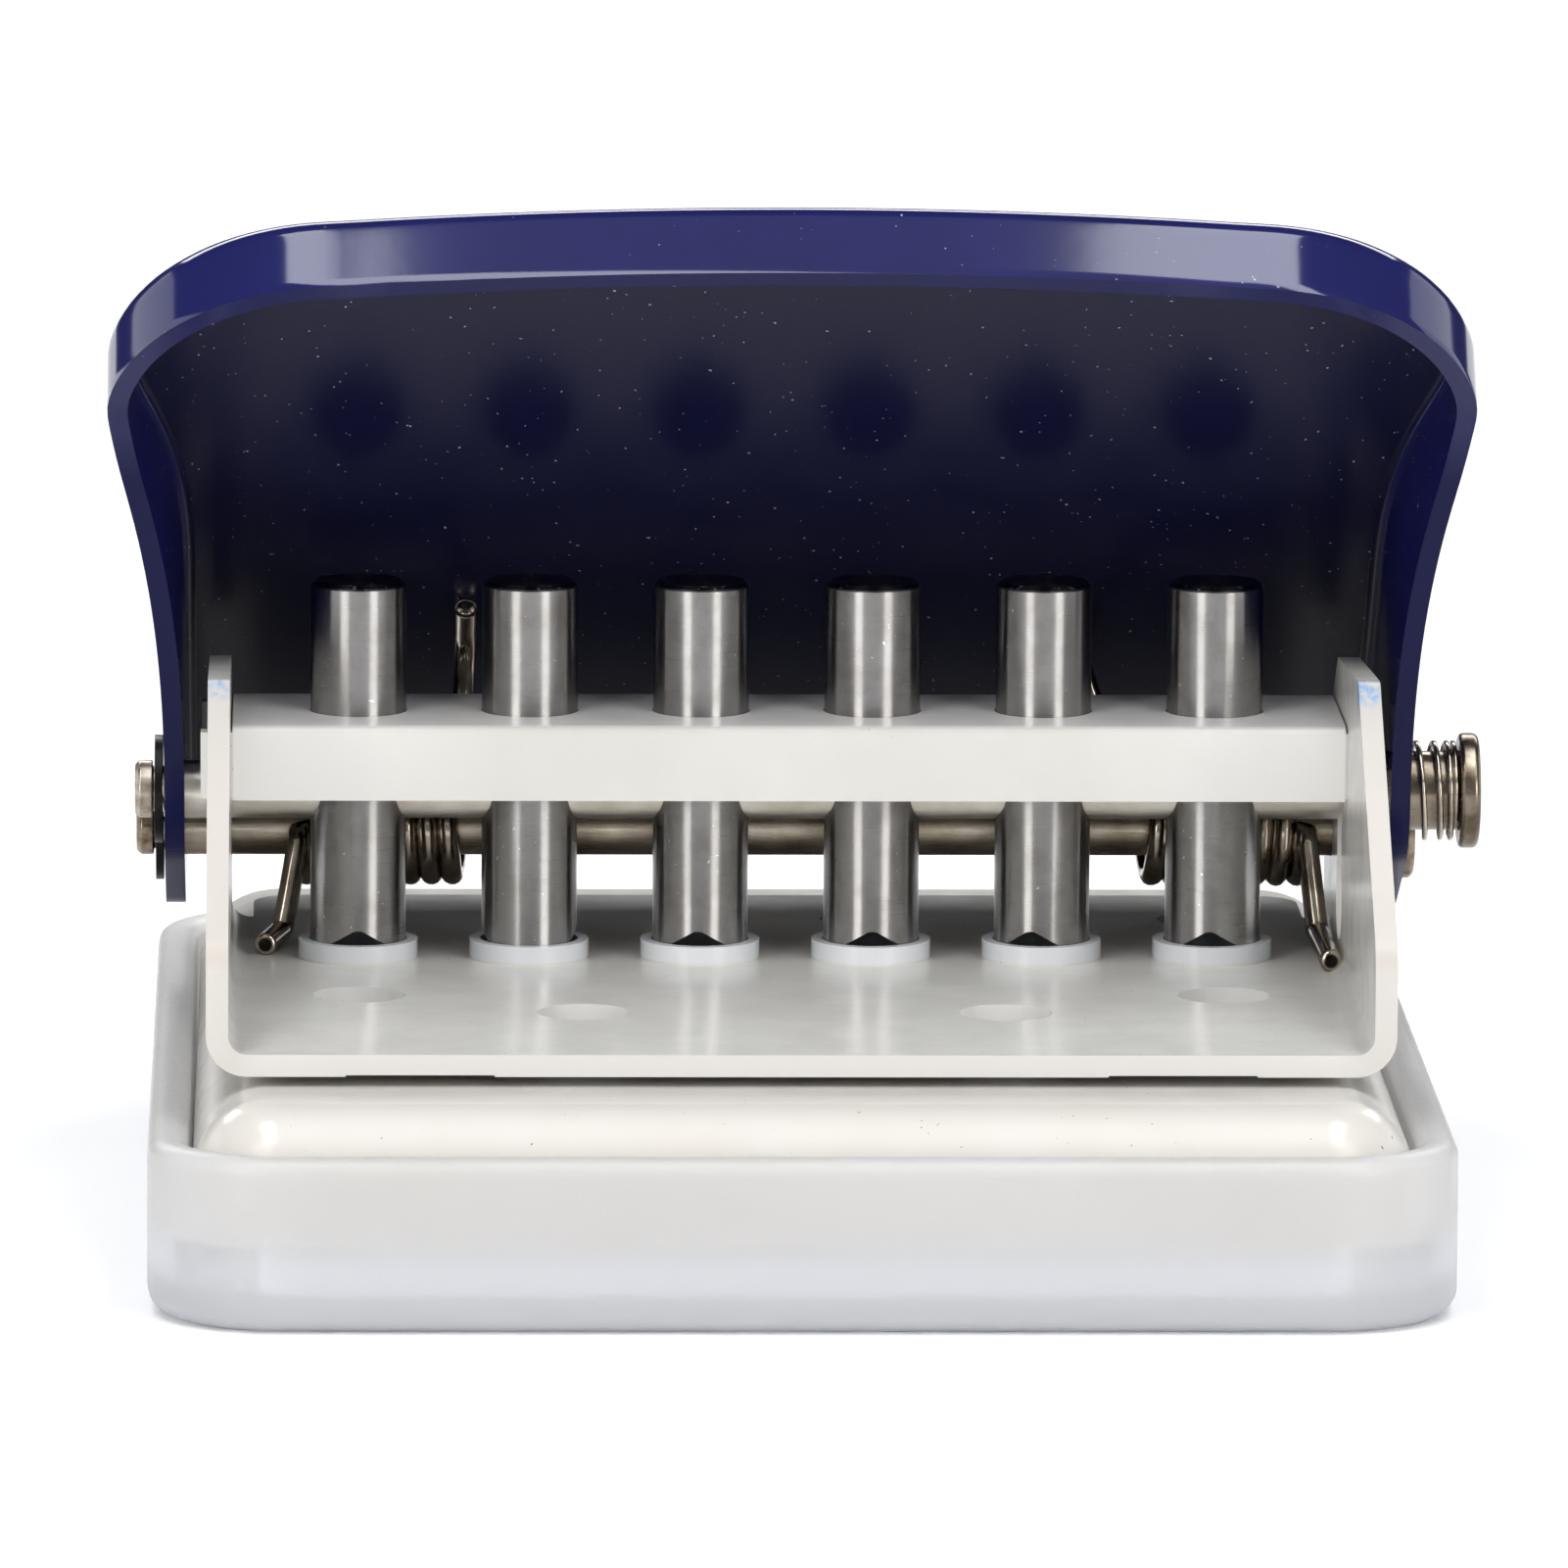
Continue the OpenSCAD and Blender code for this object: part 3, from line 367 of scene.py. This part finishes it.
zinc = steel("zinc_plate", rgb(206, 206, 206), rgb(182, 182, 180), 0.5, WIRE, 0.004)
black = steel("blackened_steel", rgb(40, 38, 38), rgb(26, 25, 25), 0.36, FINE, 0.004)
tray_plastic = frosted("frosted_plastic")


# Shapes

def piece(name, mesh, body, surface, slot, *stands_for):
    """A finished piece that rides on a body, in place of CAD nodes."""
    made = bpy.data.objects.new(name, mesh)
    bpy.context.scene.collection.objects.link(made)
    made.data.materials.clear()
    made.data.materials.append(surface.material)
    if body:
        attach(made, body)
    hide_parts(*stands_for)
    return made


def mesh_of(name, points, faces):
    made = bpy.data.meshes.new(name)
    made.from_pydata([Vector(p) * MM for p in points], [], faces)
    made.validate()
    made.shade_smooth()
    return made


def round_edges(obj, width, segments=2, angle=35):
    """Small rounded edges, with shading that stays flat on flat faces."""
    soft = obj.modifiers.new("edges", "BEVEL")
    soft.width = width * MM
    soft.segments = segments
    soft.limit_method = "ANGLE"
    soft.angle_limit = math.radians(angle)
    soft.harden_normals = True
    soft.use_clamp_overlap = True
    return obj


def cut(obj, cutter, operation="DIFFERENCE"):
    made = obj.modifiers.new("cut", "BOOLEAN")
    made.operation = operation
    made.solver = "EXACT"
    made.object = cutter
    return obj


def applied(obj):
    """Turns an object's modifiers into its mesh."""
    bpy.context.view_layer.update()
    graph = bpy.context.evaluated_depsgraph_get()
    mesh = bpy.data.meshes.new_from_object(obj.evaluated_get(graph), depsgraph=graph)
    obj.modifiers.clear()
    obj.data = mesh
    return obj


def smooth(obj, angle=40):
    """Smooth shading that large flat faces hold flat and sharp edges break."""
    obj.data.shade_smooth()
    obj.data.set_sharp_from_angle(angle=math.radians(angle))
    even = obj.modifiers.new("normals", "WEIGHTED_NORMAL")
    even.mode = "FACE_AREA"
    even.keep_sharp = True
    return obj


def scratch(name, mesh):
    made = bpy.data.objects.new(name, mesh)
    bpy.context.scene.collection.objects.link(made)
    return made


def dressed(node, surface, width=0.12, segments=2):
    """A copy of a CAD node with rounded edges and smooth shading."""
    mesh = frame["nodes"][node].data.copy()
    work = bmesh.new()
    work.from_mesh(mesh)
    bmesh.ops.remove_doubles(work, verts=work.verts, dist=0.002 * MM)
    bmesh.ops.dissolve_limit(work, angle_limit=math.radians(1.0), verts=work.verts, edges=work.edges)
    work.to_mesh(mesh)
    work.free()
    if "custom_normal" in mesh.attributes:
        mesh.attributes.remove(mesh.attributes["custom_normal"])
    mesh.shade_smooth()
    slot = next(s["material_slot"] for s in frame["record"]["subparts"] if s["node"] == node)
    made = piece(node + "_finish", mesh, BODY_OF[node], surface, slot, node)
    return round_edges(made, width, segments)


def loft(rings, closed_ends=True):
    """Points and faces through rings of equal length, lowest first, anticlockwise from above."""
    n = len(rings[0])
    points = [p for ring in rings for p in ring]
    faces = []
    for k in range(len(rings) - 1):
        for i in range(n):
            a, b = k * n + i, k * n + (i + 1) % n
            faces.append((a, b, b + n, a + n))
    if closed_ends:
        faces.append(tuple(range(n - 1, -1, -1)))
        faces.append(tuple((len(rings) - 1) * n + i for i in range(n)))
    return points, faces


def rounded_ring(low, high, inset, radius, z, steps=12):
    """A rounded rectangle at one height, moved in from a box by inset."""
    r = max(radius - inset, 0.05)
    ring = []
    for quarter in range(4):
        sx = -1 if quarter in (0, 3) else 1
        sy = -1 if quarter < 2 else 1
        cx = (low.x + inset + r) if sx < 0 else (high.x - inset - r)
        cy = (low.y + inset + r) if sy < 0 else (high.y - inset - r)
        for i in range(steps + 1):
            a = math.radians(180 + 90 * quarter + 90 * i / steps)
            ring.append((cx + r * math.cos(a), cy + r * math.sin(a), z))
    return ring


def cylinder(centre, radius, length, axis, steps=48):
    """Points and faces of a round cutter along an axis."""
    turn = Vector((0, 0, 1)).rotation_difference(Vector(axis))
    rings = []
    for z in (-length / 2, length / 2):
        ring = []
        for i in range(steps):
            a = 2 * math.pi * i / steps
            ring.append(Vector(centre) + turn @ Vector((radius * math.cos(a), radius * math.sin(a), z)))
        rings.append(ring)
    return loft(rings)


def joined(*shapes):
    points, faces = [], []
    for more_points, more_faces in shapes:
        base = len(points)
        points += list(more_points)
        faces += [tuple(i + base for i in f) for f in more_faces]
    return points, faces


def quarter(steps):
    """Sine and cosine pairs over a quarter turn."""
    return [(math.sin(math.pi / 2 * k / steps), math.cos(math.pi / 2 * k / steps)) for k in range(steps + 1)]


# Chip tray: soft lower edge, rounded rim, four posts under the pan's corners
TRAY_WALL, TRAY_FLOOR, TRAY_CORNER, TRAY_EDGE, TRAY_RIM = 2.2, 1.5, 7.2, 1.5, 0.9
POST, POST_CORNER, POST_IN_WALL, POST_IN_FLOOR, POST_UNDER_PAN = 4.8, 1.6, 0.2, 0.3, 0.1
INNER_FILLET = 1.0


def tray_ring(inset, z):
    return rounded_ring(TRAY_LOW, TRAY_HIGH, inset, TRAY_CORNER, z)


rim_z = TRAY_HIGH.z - TRAY_RIM
tray_rings = [tray_ring(TRAY_EDGE * (1 - s), TRAY_EDGE * (1 - c)) for s, c in quarter(8)]
tray_rings += [tray_ring(TRAY_RIM * (1 - c), rim_z + TRAY_RIM * s) for s, c in quarter(6)]
tray_rings += [tray_ring(TRAY_WALL - TRAY_RIM * (1 - s), rim_z + TRAY_RIM * c) for s, c in quarter(6)]
tray_rings += [tray_ring(TRAY_WALL + INNER_FILLET * (1 - c), TRAY_FLOOR + INNER_FILLET * (1 - s))
               for s, c in quarter(6)]
points, faces = loft(tray_rings)
tray = piece("chip_tray_cup", mesh_of("chip_tray_cup", points, faces), "chip_tray", tray_plastic,
             "tray_plastic", "chip_tray")
posts = []
for sx in (-1, 1):
    for sy in (-1, 1):
        x = sx * (TRAY_HIGH.x - TRAY_WALL - POST / 2 + POST_IN_WALL)
        y = sy * (TRAY_HIGH.y - TRAY_WALL - POST / 2 + POST_IN_WALL)
        low, high = Vector((x - POST / 2, y - POST / 2, 0)), Vector((x + POST / 2, y + POST / 2, 0))
        posts.append(loft([rounded_ring(low, high, 0, POST_CORNER, z, 5)
                           for z in (TRAY_FLOOR - POST_IN_FLOOR, PAN_LOW.z - POST_UNDER_PAN)]))
post_cutter = scratch("tray_posts", mesh_of("tray_posts", *joined(*posts)))
smooth(applied(cut(tray, post_cutter, "UNION")))
bpy.data.objects.remove(post_cutter)

# Base pan: drawn sheet, open below
PAN_SHEET, PAN_EDGE, PAN_CORNER, PAN_LIP = 1.0, 4.0, 4.8, 0.15
DIE_FIT, DIE_CUT = 0.1, 8.0


def pan_ring(inset, z):
    return rounded_ring(PAN_LOW, PAN_HIGH, inset, PAN_CORNER, z, 14)


PAN_SHOULDER, PAN_INNER = PAN_HIGH.z - PAN_EDGE, PAN_EDGE - PAN_SHEET
pan_rings = [pan_ring(PAN_SHEET + PAN_INNER * (1 - c), PAN_SHOULDER + PAN_INNER * s)
             for s, c in reversed(quarter(10))]
pan_rings.append(pan_ring(PAN_SHEET, PAN_LOW.z + PAN_LIP))
pan_rings.append(pan_ring(PAN_SHEET * 0.8, PAN_LOW.z))
pan_rings.append(pan_ring(PAN_SHEET * 0.2, PAN_LOW.z))
pan_rings.append(pan_ring(0, PAN_LOW.z + PAN_LIP))
pan_rings += [pan_ring(PAN_EDGE * (1 - c), PAN_SHOULDER + PAN_EDGE * s) for s, c in quarter(10)]
pan = piece("base_pan_shell", mesh_of("base_pan_shell", *loft(pan_rings)), "chassis", cream,
            "pan_paint", "base_pan")
pins = [f"punch_pin_{i}" for i in range(1, 7)]
pin_x = [(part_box(p)[0].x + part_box(p)[1].x) / 2 / MM for p in pins]
PIN_R = (PIN_HIGH.x - PIN_LOW.x) / 2
die_holes = scratch("die_holes", mesh_of("die_holes", *joined(
    *(cylinder((x, PIN_Y, PAN_HIGH.z), PIN_R + DIE_FIT, DIE_CUT, UP) for x in pin_x))))
smooth(applied(cut(pan, die_holes)))
bpy.data.objects.remove(die_holes)

# Rigid steel pieces keep their solids' shapes and get worked edges
dressed("punch_frame", white, 0.14, 3)
dressed("pin_guide", white, 0.12, 3)
for pin in pins:
    dressed(pin, pin_steel, 0.07)
dressed("drive_rod", bright_nickel, 0.08)
dressed("pivot_axle", axle_steel, 0.1)
dressed("lock_button", nickel, 0.1)
dressed("drive_rod_clip", black, 0.06)
dressed("pivot_clip", black, 0.06)
dressed("paper_stop", zinc, 0.08)
dressed("frame_rivets", zinc, 0.1)


# Wire springs

def unit(v):
    return v / v.length


def tube(path, diameter, sides=14):
    """Points and faces of a round wire along a path, with slightly rounded ends."""
    n = len(path)
    along = [unit(path[min(i + 1, n - 1)] - path[max(i - 1, 0)]) for i in range(n)]
    across = Vector((0, 0, 1)) if abs(along[0].z) < 0.9 else Vector((0, 1, 0))
    rings = []
    end_round = 0.12 * diameter
    stations = [(path[0], along[0], 1 - 2 * end_round / diameter)]
    stations += [(path[0] + along[0] * end_round, along[0], 1.0)]
    stations += [(path[i], along[i], 1.0) for i in range(1, n - 1)]
    stations += [(path[-1] - along[-1] * end_round, along[-1], 1.0)]
    stations += [(path[-1], along[-1], 1 - 2 * end_round / diameter)]
    for place, direction, share in stations:
        across = unit(across - direction * across.dot(direction))
        beside = direction.cross(across)
        rings.append([place + (across * math.cos(2 * math.pi * k / sides)
                               + beside * math.sin(2 * math.pi * k / sides)) * (diameter / 2 * share)
                      for k in range(sides)])
    return loft(rings)


def smoothed(path, times=2):
    """Rounds a path's bends by cutting its corners."""
    for _ in range(times):
        cut_path = [path[0]]
        for a, b in zip(path[:-1], path[1:]):
            cut_path += [a.lerp(b, 0.25), a.lerp(b, 0.75)]
        path = cut_path + [path[-1]]
    return path


COIL_R, COIL_WIRE, COIL_PITCH, TURN_STEPS = 2.7, 1.24, 1.28, 20
FOOT_REST, LEG_REST, HEEL_BACK, LEG_BEND, LEG_TIP = 0.02, 0.06, 4.0, 1.8, 6.6
HANDLE_TOP, HANDLE_SHEET = 12.1, 1.1


def under_handle(u):
    """Y and Z of a wire's middle below the handle's underside, u forward of the pivot."""
    v = HANDLE_TOP - HANDLE_SHEET - COIL_WIRE / 2 - LEG_REST
    return (PIVOT.y - u * math.cos(HANDLE_TILT) + v * math.sin(HANDLE_TILT),
            PIVOT.z + u * math.sin(HANDLE_TILT) + v * math.cos(HANDLE_TILT))


def leaves(y, z):
    """Angle on the coil where a straight leg to a place leaves it."""
    dy, dz = y - PIVOT.y, z - PIVOT.z
    return math.atan2(dz, dy) - math.acos(COIL_R / math.hypot(dy, dz))


def torsion_spring(side, outer_x, inner_x, foot, heel_share, lean):
    """Foot on the plate, close-wound coil, leg bent along the handle's underside."""
    foot_z = PLATE_Z + COIL_WIRE / 2 + FOOT_REST
    heel = Vector((outer_x + heel_share * (foot[0] - outer_x), PIN_Y + HEEL_BACK, foot_z))
    bend = under_handle(LEG_BEND)
    tip = under_handle(LEG_TIP)
    start = leaves(heel.y, heel.z) + 2 * math.pi
    turns = round(abs(outer_x - inner_x) / COIL_PITCH)
    end = leaves(*bend) + 2 * math.pi * (turns + 1)
    steps = int((end - start) / (2 * math.pi) * TURN_STEPS)
    coil = []
    for i in range(steps + 1):
        f = i / steps
        a = start + (end - start) * f
        coil.append(Vector((outer_x + (inner_x - outer_x) * f,
                            PIVOT.y + COIL_R * math.cos(a), PIVOT.z + COIL_R * math.sin(a))))
    leg_x = inner_x - side * lean
    foot_leg = [Vector((foot[0], PIN_Y + foot[1], foot_z)),
                heel.lerp(Vector((foot[0], heel.y, foot_z)), 0.2)]
    leg = [Vector((leg_x, *bend)), Vector((leg_x, *tip))]
    path = smoothed(foot_leg + [heel + Vector((0, 0.5, 0.2)), coil[0]], 2)[:-1] + coil
    path += smoothed([coil[-1], *leg], 3)[1:]
    return tube(path, COIL_WIRE)


# The wire's cut feet are dark inside a bright rim
FEET = {-1: (-28.9, 0.0), 1: (30.08, -5.0)}
wire_tint = wire_steel.tint()
for foot_x, foot_y in FEET.values():
    cut_face = wire_steel.near((foot_x, PIN_Y + foot_y, PLATE_Z + COIL_WIRE / 2), 0.4, 0.06)
    wire_tint = wire_steel.mix(cut_face, wire_tint, rgb(38, 34, 30))
wire_steel.set(color=wire_tint)
for name, shape in (
        ("torsion_spring_left", torsion_spring(-1, -26.9, -18.2, FEET[-1], 0.5, 0.5)),
        ("torsion_spring_right", torsion_spring(1, 29.2, 20.5, FEET[1], 0.8, 3.8))):
    spring = piece(name + "_wire", mesh_of(name + "_wire", *shape), None, wire_steel, "spring_steel", name)
    side = -1 if name.endswith("left") else 1
    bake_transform(spring)

LOCK_WIRE, LOCK_TURNS, LOCK_STEPS, LOCK_CROWD = 0.32, 3.6, 24, 1.8
lock_low, lock_high = (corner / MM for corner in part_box("lock_spring"))
lock_r = (lock_high.y - lock_low.y) / 2 - LOCK_WIRE / 2
lock_path = []
for i in range(int(LOCK_TURNS * LOCK_STEPS) + 1):
    a = 2 * math.pi * i / LOCK_STEPS
    f = 1 - (1 - i / (LOCK_TURNS * LOCK_STEPS)) ** LOCK_CROWD
    lock_path.append(Vector((lock_low.x + LOCK_WIRE / 2 + f * (lock_high.x - lock_low.x - LOCK_WIRE),
                             PIN_Y + lock_r * math.cos(a), ROD_Z + lock_r * math.sin(a))))
lock_mesh = mesh_of("lock_spring_wire", *tube(lock_path, LOCK_WIRE, 10))
lock_spring = piece("lock_spring_wire", lock_mesh, "drive_rod", wire_steel, "spring_steel", "lock_spring")
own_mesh(lock_spring)


# Handle: one drawn skin, given its sheet's thickness, then its holes and worked edges
EAR_HALF = 34.45
HANDLE_REACH, HANDLE_REAR, HANDLE_FLANGE, HANDLE_EDGE = 42.0, 13.0, 5.3, 1.6
HANDLE_HALF, HANDLE_BOW, HANDLE_CORNER = HANDLE_HIGH.x, 1.3, 13.0
FLARE_START, FLARE_END, FLARE_POWER = 10.0, 28.0, 2.5
EAR_R, LOBE_R = 4.3, 3.9
LOBE_U = (7.62, 8.06)
LOBE_V = -3.12


def handle_half_plan():
    """X and u of the right half of the outline, from the middle of the front to the rear of an ear."""
    corner_x, corner_u = HANDLE_HALF - HANDLE_CORNER, HANDLE_REACH - HANDLE_BOW
    curve = [(corner_x * f, HANDLE_REACH - HANDLE_BOW * f * f) for f in (i / 40 for i in range(41))]
    for i in range(41):
        t = math.radians(84 - 78 * i / 40)
        curve.append((corner_x + HANDLE_CORNER * math.cos(t),
                      FLARE_END + (corner_u - FLARE_END) * math.sin(t)))
    for i in range(41):
        u = FLARE_END - 1.6 - (FLARE_END - 1.6 - FLARE_START) * i / 40
        flare = ((u - FLARE_START) / (FLARE_END - FLARE_START)) ** FLARE_POWER
        curve.append((EAR_HALF + (HANDLE_HALF - EAR_HALF) * flare, u))
    curve.append((EAR_HALF, -HANDLE_REAR))
    dense = resampled([Vector(p).to_3d() for p in curve], 0.4)
    for _ in range(14):
        eased = [(a + b * 2 + c) / 4 for a, b, c in zip(dense, dense[1:], dense[2:])]
        dense = [dense[0]] + eased + [dense[-1]]
    return resampled(dense, 0.8)


def resampled(path, spacing):
    """The same path with points at even steps along it."""
    lengths = [(b - a).length for a, b in zip(path[:-1], path[1:])]
    total = sum(lengths)
    count = max(2, round(total / spacing))
    out, k, passed = [path[0]], 0, 0.0
    for i in range(1, count):
        goal = total * i / count
        while passed + lengths[k] < goal:
            passed += lengths[k]
            k += 1
        out.append(path[k].lerp(path[k + 1], (goal - passed) / lengths[k]))
    return out + [path[-1]]


def ear_edge():
    """Lower edge of the side walls as u, v corners of a convex line: rear, ear, boss, flange."""
    low = HANDLE_TOP - HANDLE_FLANGE
    cloud = [(-HANDLE_REAR, low + 1.5), (FLARE_END, low)]
    for cu, cv, r in ((0, 0, EAR_R), (LOBE_U[0], LOBE_V, LOBE_R), (LOBE_U[1], LOBE_V, LOBE_R)):
        turns = [math.radians(a) for a in range(0, 360, 4)]
        cloud += [(cu + r * math.cos(a), cv + r * math.sin(a)) for a in turns]
    hull = []
    for p in sorted(cloud):
        while len(hull) > 1 and ((hull[-1][0] - hull[-2][0]) * (p[1] - hull[-2][1])
                                 <= (hull[-1][1] - hull[-2][1]) * (p[0] - hull[-2][0])):
            hull.pop()
        hull.append(p)
    return hull


EAR_EDGE = ear_edge()


def wall_foot(u):
    """Height of the wall's free edge."""
    low = HANDLE_TOP - HANDLE_FLANGE
    if u >= FLARE_END:
        return low
    for (u0, v0), (u1, v1) in zip(EAR_EDGE[:-1], EAR_EDGE[1:]):
        if u0 <= u <= u1:
            return v0 + (v1 - v0) * (u - u0) / (u1 - u0) if u1 > u0 else v0
    return low


def handle_skin():
    """Points and faces of the drawn sheet's outer face, level, with the pivot at the origin."""
    right = handle_half_plan()
    full = [Vector((-p.x, p.y, 0)) for p in reversed(right)] + right[1:]
    n = len(full)
    inward = []
    for i in range(n):
        run = full[min(i + 1, n - 1)] - full[max(i - 1, 0)]
        inward.append(Vector((run.y, -run.x, 0)).normalized())
    inward[0], inward[-1] = Vector((1, 0, 0)), Vector((-1, 0, 0))
    wall_rows, edge_rows, across = 7, 9, 20
    feet = [wall_foot(p.y) for p in full]
    for _ in range(3):
        soft = [(a + 2 * b + c) / 4 for a, b, c in zip(feet, feet[1:], feet[2:])]
        feet = [f if p.y < 12 else s for f, s, p in zip(feet, [feet[0]] + soft + [feet[-1]], full)]
    points, faces = [], []
    rows = wall_rows + edge_rows
    for i, p in enumerate(full):
        shoulder = HANDLE_TOP - HANDLE_EDGE
        for k in range(wall_rows):
            points.append((p.x, -p.y, feet[i] + (shoulder - feet[i]) * k / wall_rows))
        for k in range(edge_rows):
            a = math.pi / 2 * k / (edge_rows - 1)
            q = p + inward[i] * HANDLE_EDGE * (1 - math.cos(a))
            points.append((q.x, -q.y, shoulder + HANDLE_EDGE * math.sin(a)))
    for i in range(n - 1):
        for k in range(rows - 1):
            a, b = i * rows + k, (i + 1) * rows + k
            faces.append((a, b, b + 1, a + 1))
    half = n // 2
    strips = []
    for i in range(half):
        left, right_end = i * rows + rows - 1, (n - 1 - i) * rows + rows - 1
        strip = [left]
        for k in range(1, across):
            strip.append(len(points))
            points.append(tuple(Vector(points[left]).lerp(Vector(points[right_end]), k / across)))
        strips.append(strip + [right_end])
    for low, high in zip(strips[:-1], strips[1:]):
        for k in range(across):
            faces.append((low[k], high[k], high[k + 1], low[k + 1]))
    middle = half * rows + rows - 1
    for k in range(across):
        faces.append((strips[-1][k], middle, strips[-1][k + 1]))
    return points, faces


points, faces = handle_skin()
swing = Matrix.Rotation(-HANDLE_TILT, 3, "X")
hood_mesh = mesh_of("handle_hood", [PIVOT + swing @ Vector(p) for p in points], faces)
work = bmesh.new()
work.from_mesh(hood_mesh)
bmesh.ops.recalc_face_normals(work, faces=work.faces)
work.faces.ensure_lookup_table()
up = swing @ Vector((0, 0, 1))
top_face = max(work.faces, key=lambda f: f.calc_center_median().dot(up))
if top_face.normal.dot(up) < 0:
    bmesh.ops.reverse_faces(work, faces=work.faces)
work.to_mesh(hood_mesh)
work.free()
hood = piece("handle_hood", hood_mesh, "handle", navy, "handle_paint", "handle")
thick = hood.modifiers.new("sheet", "SOLIDIFY")
thick.thickness = HANDLE_SHEET * MM
thick.offset = -1
thick.use_even_offset = True
AXLE_HOLE_R, ROD_SLOT_R, SHANK_SLOT_R = 1.66, 1.85, 2.45


def ear_cut(x, u, v, r):
    place = PIVOT + swing @ Vector((0, -u, v))
    return cylinder((x, place.y, place.z), r, 6, (1, 0, 0))


ear_x = EAR_HALF - HANDLE_SHEET / 2
cutters = []
for label, shape in (("axle_left", ear_cut(-ear_x, 0, 0, AXLE_HOLE_R)),
                     ("axle_right", ear_cut(ear_x, 0, 0, AXLE_HOLE_R)),
                     ("rod_left", ear_cut(-ear_x, sum(LOBE_U) / 2, LOBE_V, ROD_SLOT_R)),
                     ("shank_right", ear_cut(ear_x, sum(LOBE_U) / 2, LOBE_V, SHANK_SLOT_R))):
    cutter = scratch(label, mesh_of(label, *shape))
    cut(hood, cutter)
    cutters.append(cutter)
round_edges(hood, 0.3, 3, 50)
smooth(applied(hood))
for cutter in cutters:
    bpy.data.objects.remove(cutter)


# Studio: pale floor, soft boxes in front, above, at the sides and behind
FLOOR_HALF = 3000
corners = [(x * FLOOR_HALF, y * FLOOR_HALF, 0) for x, y in ((-1, -1), (1, -1), (1, 1), (-1, 1))]
floor_mesh = mesh_of("floor", corners, [(0, 1, 2, 3)])
floor = bpy.data.objects.new("floor", floor_mesh)
bpy.context.scene.collection.objects.link(floor)
floor_surface = Surface("pale_floor")
floor_tint = floor_surface.mix(floor_surface.noise(80.0), rgb(250, 250, 250), rgb(247, 247, 248))
floor_surface.set(color=floor_tint, rough=0.6)
floor.data.materials.append(floor_surface.material)

AIM = Vector((0, PIN_Y, PLATE_Z + 10))


def soft_box(name, place, aim, width, height, radiance, colour=(1.0, 1.0, 1.0)):
    """An area light at a place in mm, turned to face a point; its height runs as near upright as it can."""
    light = bpy.data.lights.new(name, "AREA")
    light.shape = "RECTANGLE"
    light.size, light.size_y = width * MM, height * MM
    light.energy = radiance * math.pi * light.size * light.size_y
    light.color = colour
    place, aim = Vector(place), Vector(aim)
    made = bpy.data.objects.new(name, light)
    turn = (aim - place).to_track_quat("-Z", "Y").to_matrix().to_4x4()
    made.matrix_world = Matrix.Translation(place * MM) @ turn
    bpy.context.scene.collection.objects.link(made)
    return made


WARM, COOL = (1.0, 0.985, 0.96), (0.93, 0.96, 1.0)
for side in (-1, 1):
    soft_box("strip_above", (side * 155, -120, 560), (side * 155, -119, 0), 120, 420, 7.7, COOL)
    soft_box("box_low", (side * 376, -518, 160), AIM, 210, 300, 5.4, WARM)
    soft_box("box_high", (side * 260, -358, 470), AIM, 280, 240, 3.4, WARM)
    soft_box("wall_side", (side * 900, 350, 260), AIM, 900, 480, 1.4, COOL)
soft_box("panel_above", (0, -120, 560), (0, -119, 0), 180, 420, 0.35)
soft_box("box_rear", (0, 1400, 800), (0, 1401, 0), 1800, 800, 5.6)

# Room: bright in front and at the sides, dim behind
world = bpy.data.worlds.new("studio")
world.use_nodes = True
tree = world.node_tree
background = next(n for n in tree.nodes if n.type == "BACKGROUND")
background.inputs["Color"].default_value = (0.97, 0.98, 1.0, 1.0)
direction = tree.nodes.new("ShaderNodeTexCoord")
parts = tree.nodes.new("ShaderNodeSeparateXYZ")
room = tree.nodes.new("ShaderNodeMapRange")
for name, number in (("From Min", -0.2), ("From Max", 0.6), ("To Min", 0.26), ("To Max", 0.05)):
    room.inputs[name].default_value = number
tree.links.new(direction.outputs["Generated"], parts.inputs[0])
tree.links.new(parts.outputs["Y"], room.inputs["Value"])
tree.links.new(room.outputs["Result"], background.inputs["Strength"])
bpy.context.scene.world = world
bpy.context.scene.view_settings.view_transform = "Standard"

# Camera, worked out from the photograph's pins, plate, slot and tray
CAMERA_PLACE = Vector((-26.67, -866.96, 164.43))
CAMERA_YAW, CAMERA_PITCH, CAMERA_ROLL = math.radians(1.751), math.radians(9.248), math.radians(0.363)
CAMERA_LENS, CAMERA_SENSOR = 364.06, 36.0
ahead = Vector((math.sin(CAMERA_YAW) * math.cos(CAMERA_PITCH), math.cos(CAMERA_YAW) * math.cos(CAMERA_PITCH),
                -math.sin(CAMERA_PITCH)))
level = Vector((math.cos(CAMERA_YAW), -math.sin(CAMERA_YAW), 0))
upright = level.cross(ahead)
right = level * math.cos(CAMERA_ROLL) + upright * math.sin(CAMERA_ROLL)
above = upright * math.cos(CAMERA_ROLL) - level * math.sin(CAMERA_ROLL)
camera = bpy.data.objects.new("camera", bpy.data.cameras.new("camera"))
camera.data.lens, camera.data.sensor_width = CAMERA_LENS, CAMERA_SENSOR
camera.data.clip_start, camera.data.clip_end = 0.05, 20.0
camera.matrix_world = Matrix((
    (right.x, above.x, -ahead.x, CAMERA_PLACE.x * MM),
    (right.y, above.y, -ahead.y, CAMERA_PLACE.y * MM),
    (right.z, above.z, -ahead.z, CAMERA_PLACE.z * MM),
    (0, 0, 0, 1)))
bpy.context.scene.collection.objects.link(camera)
bpy.context.scene.camera = camera
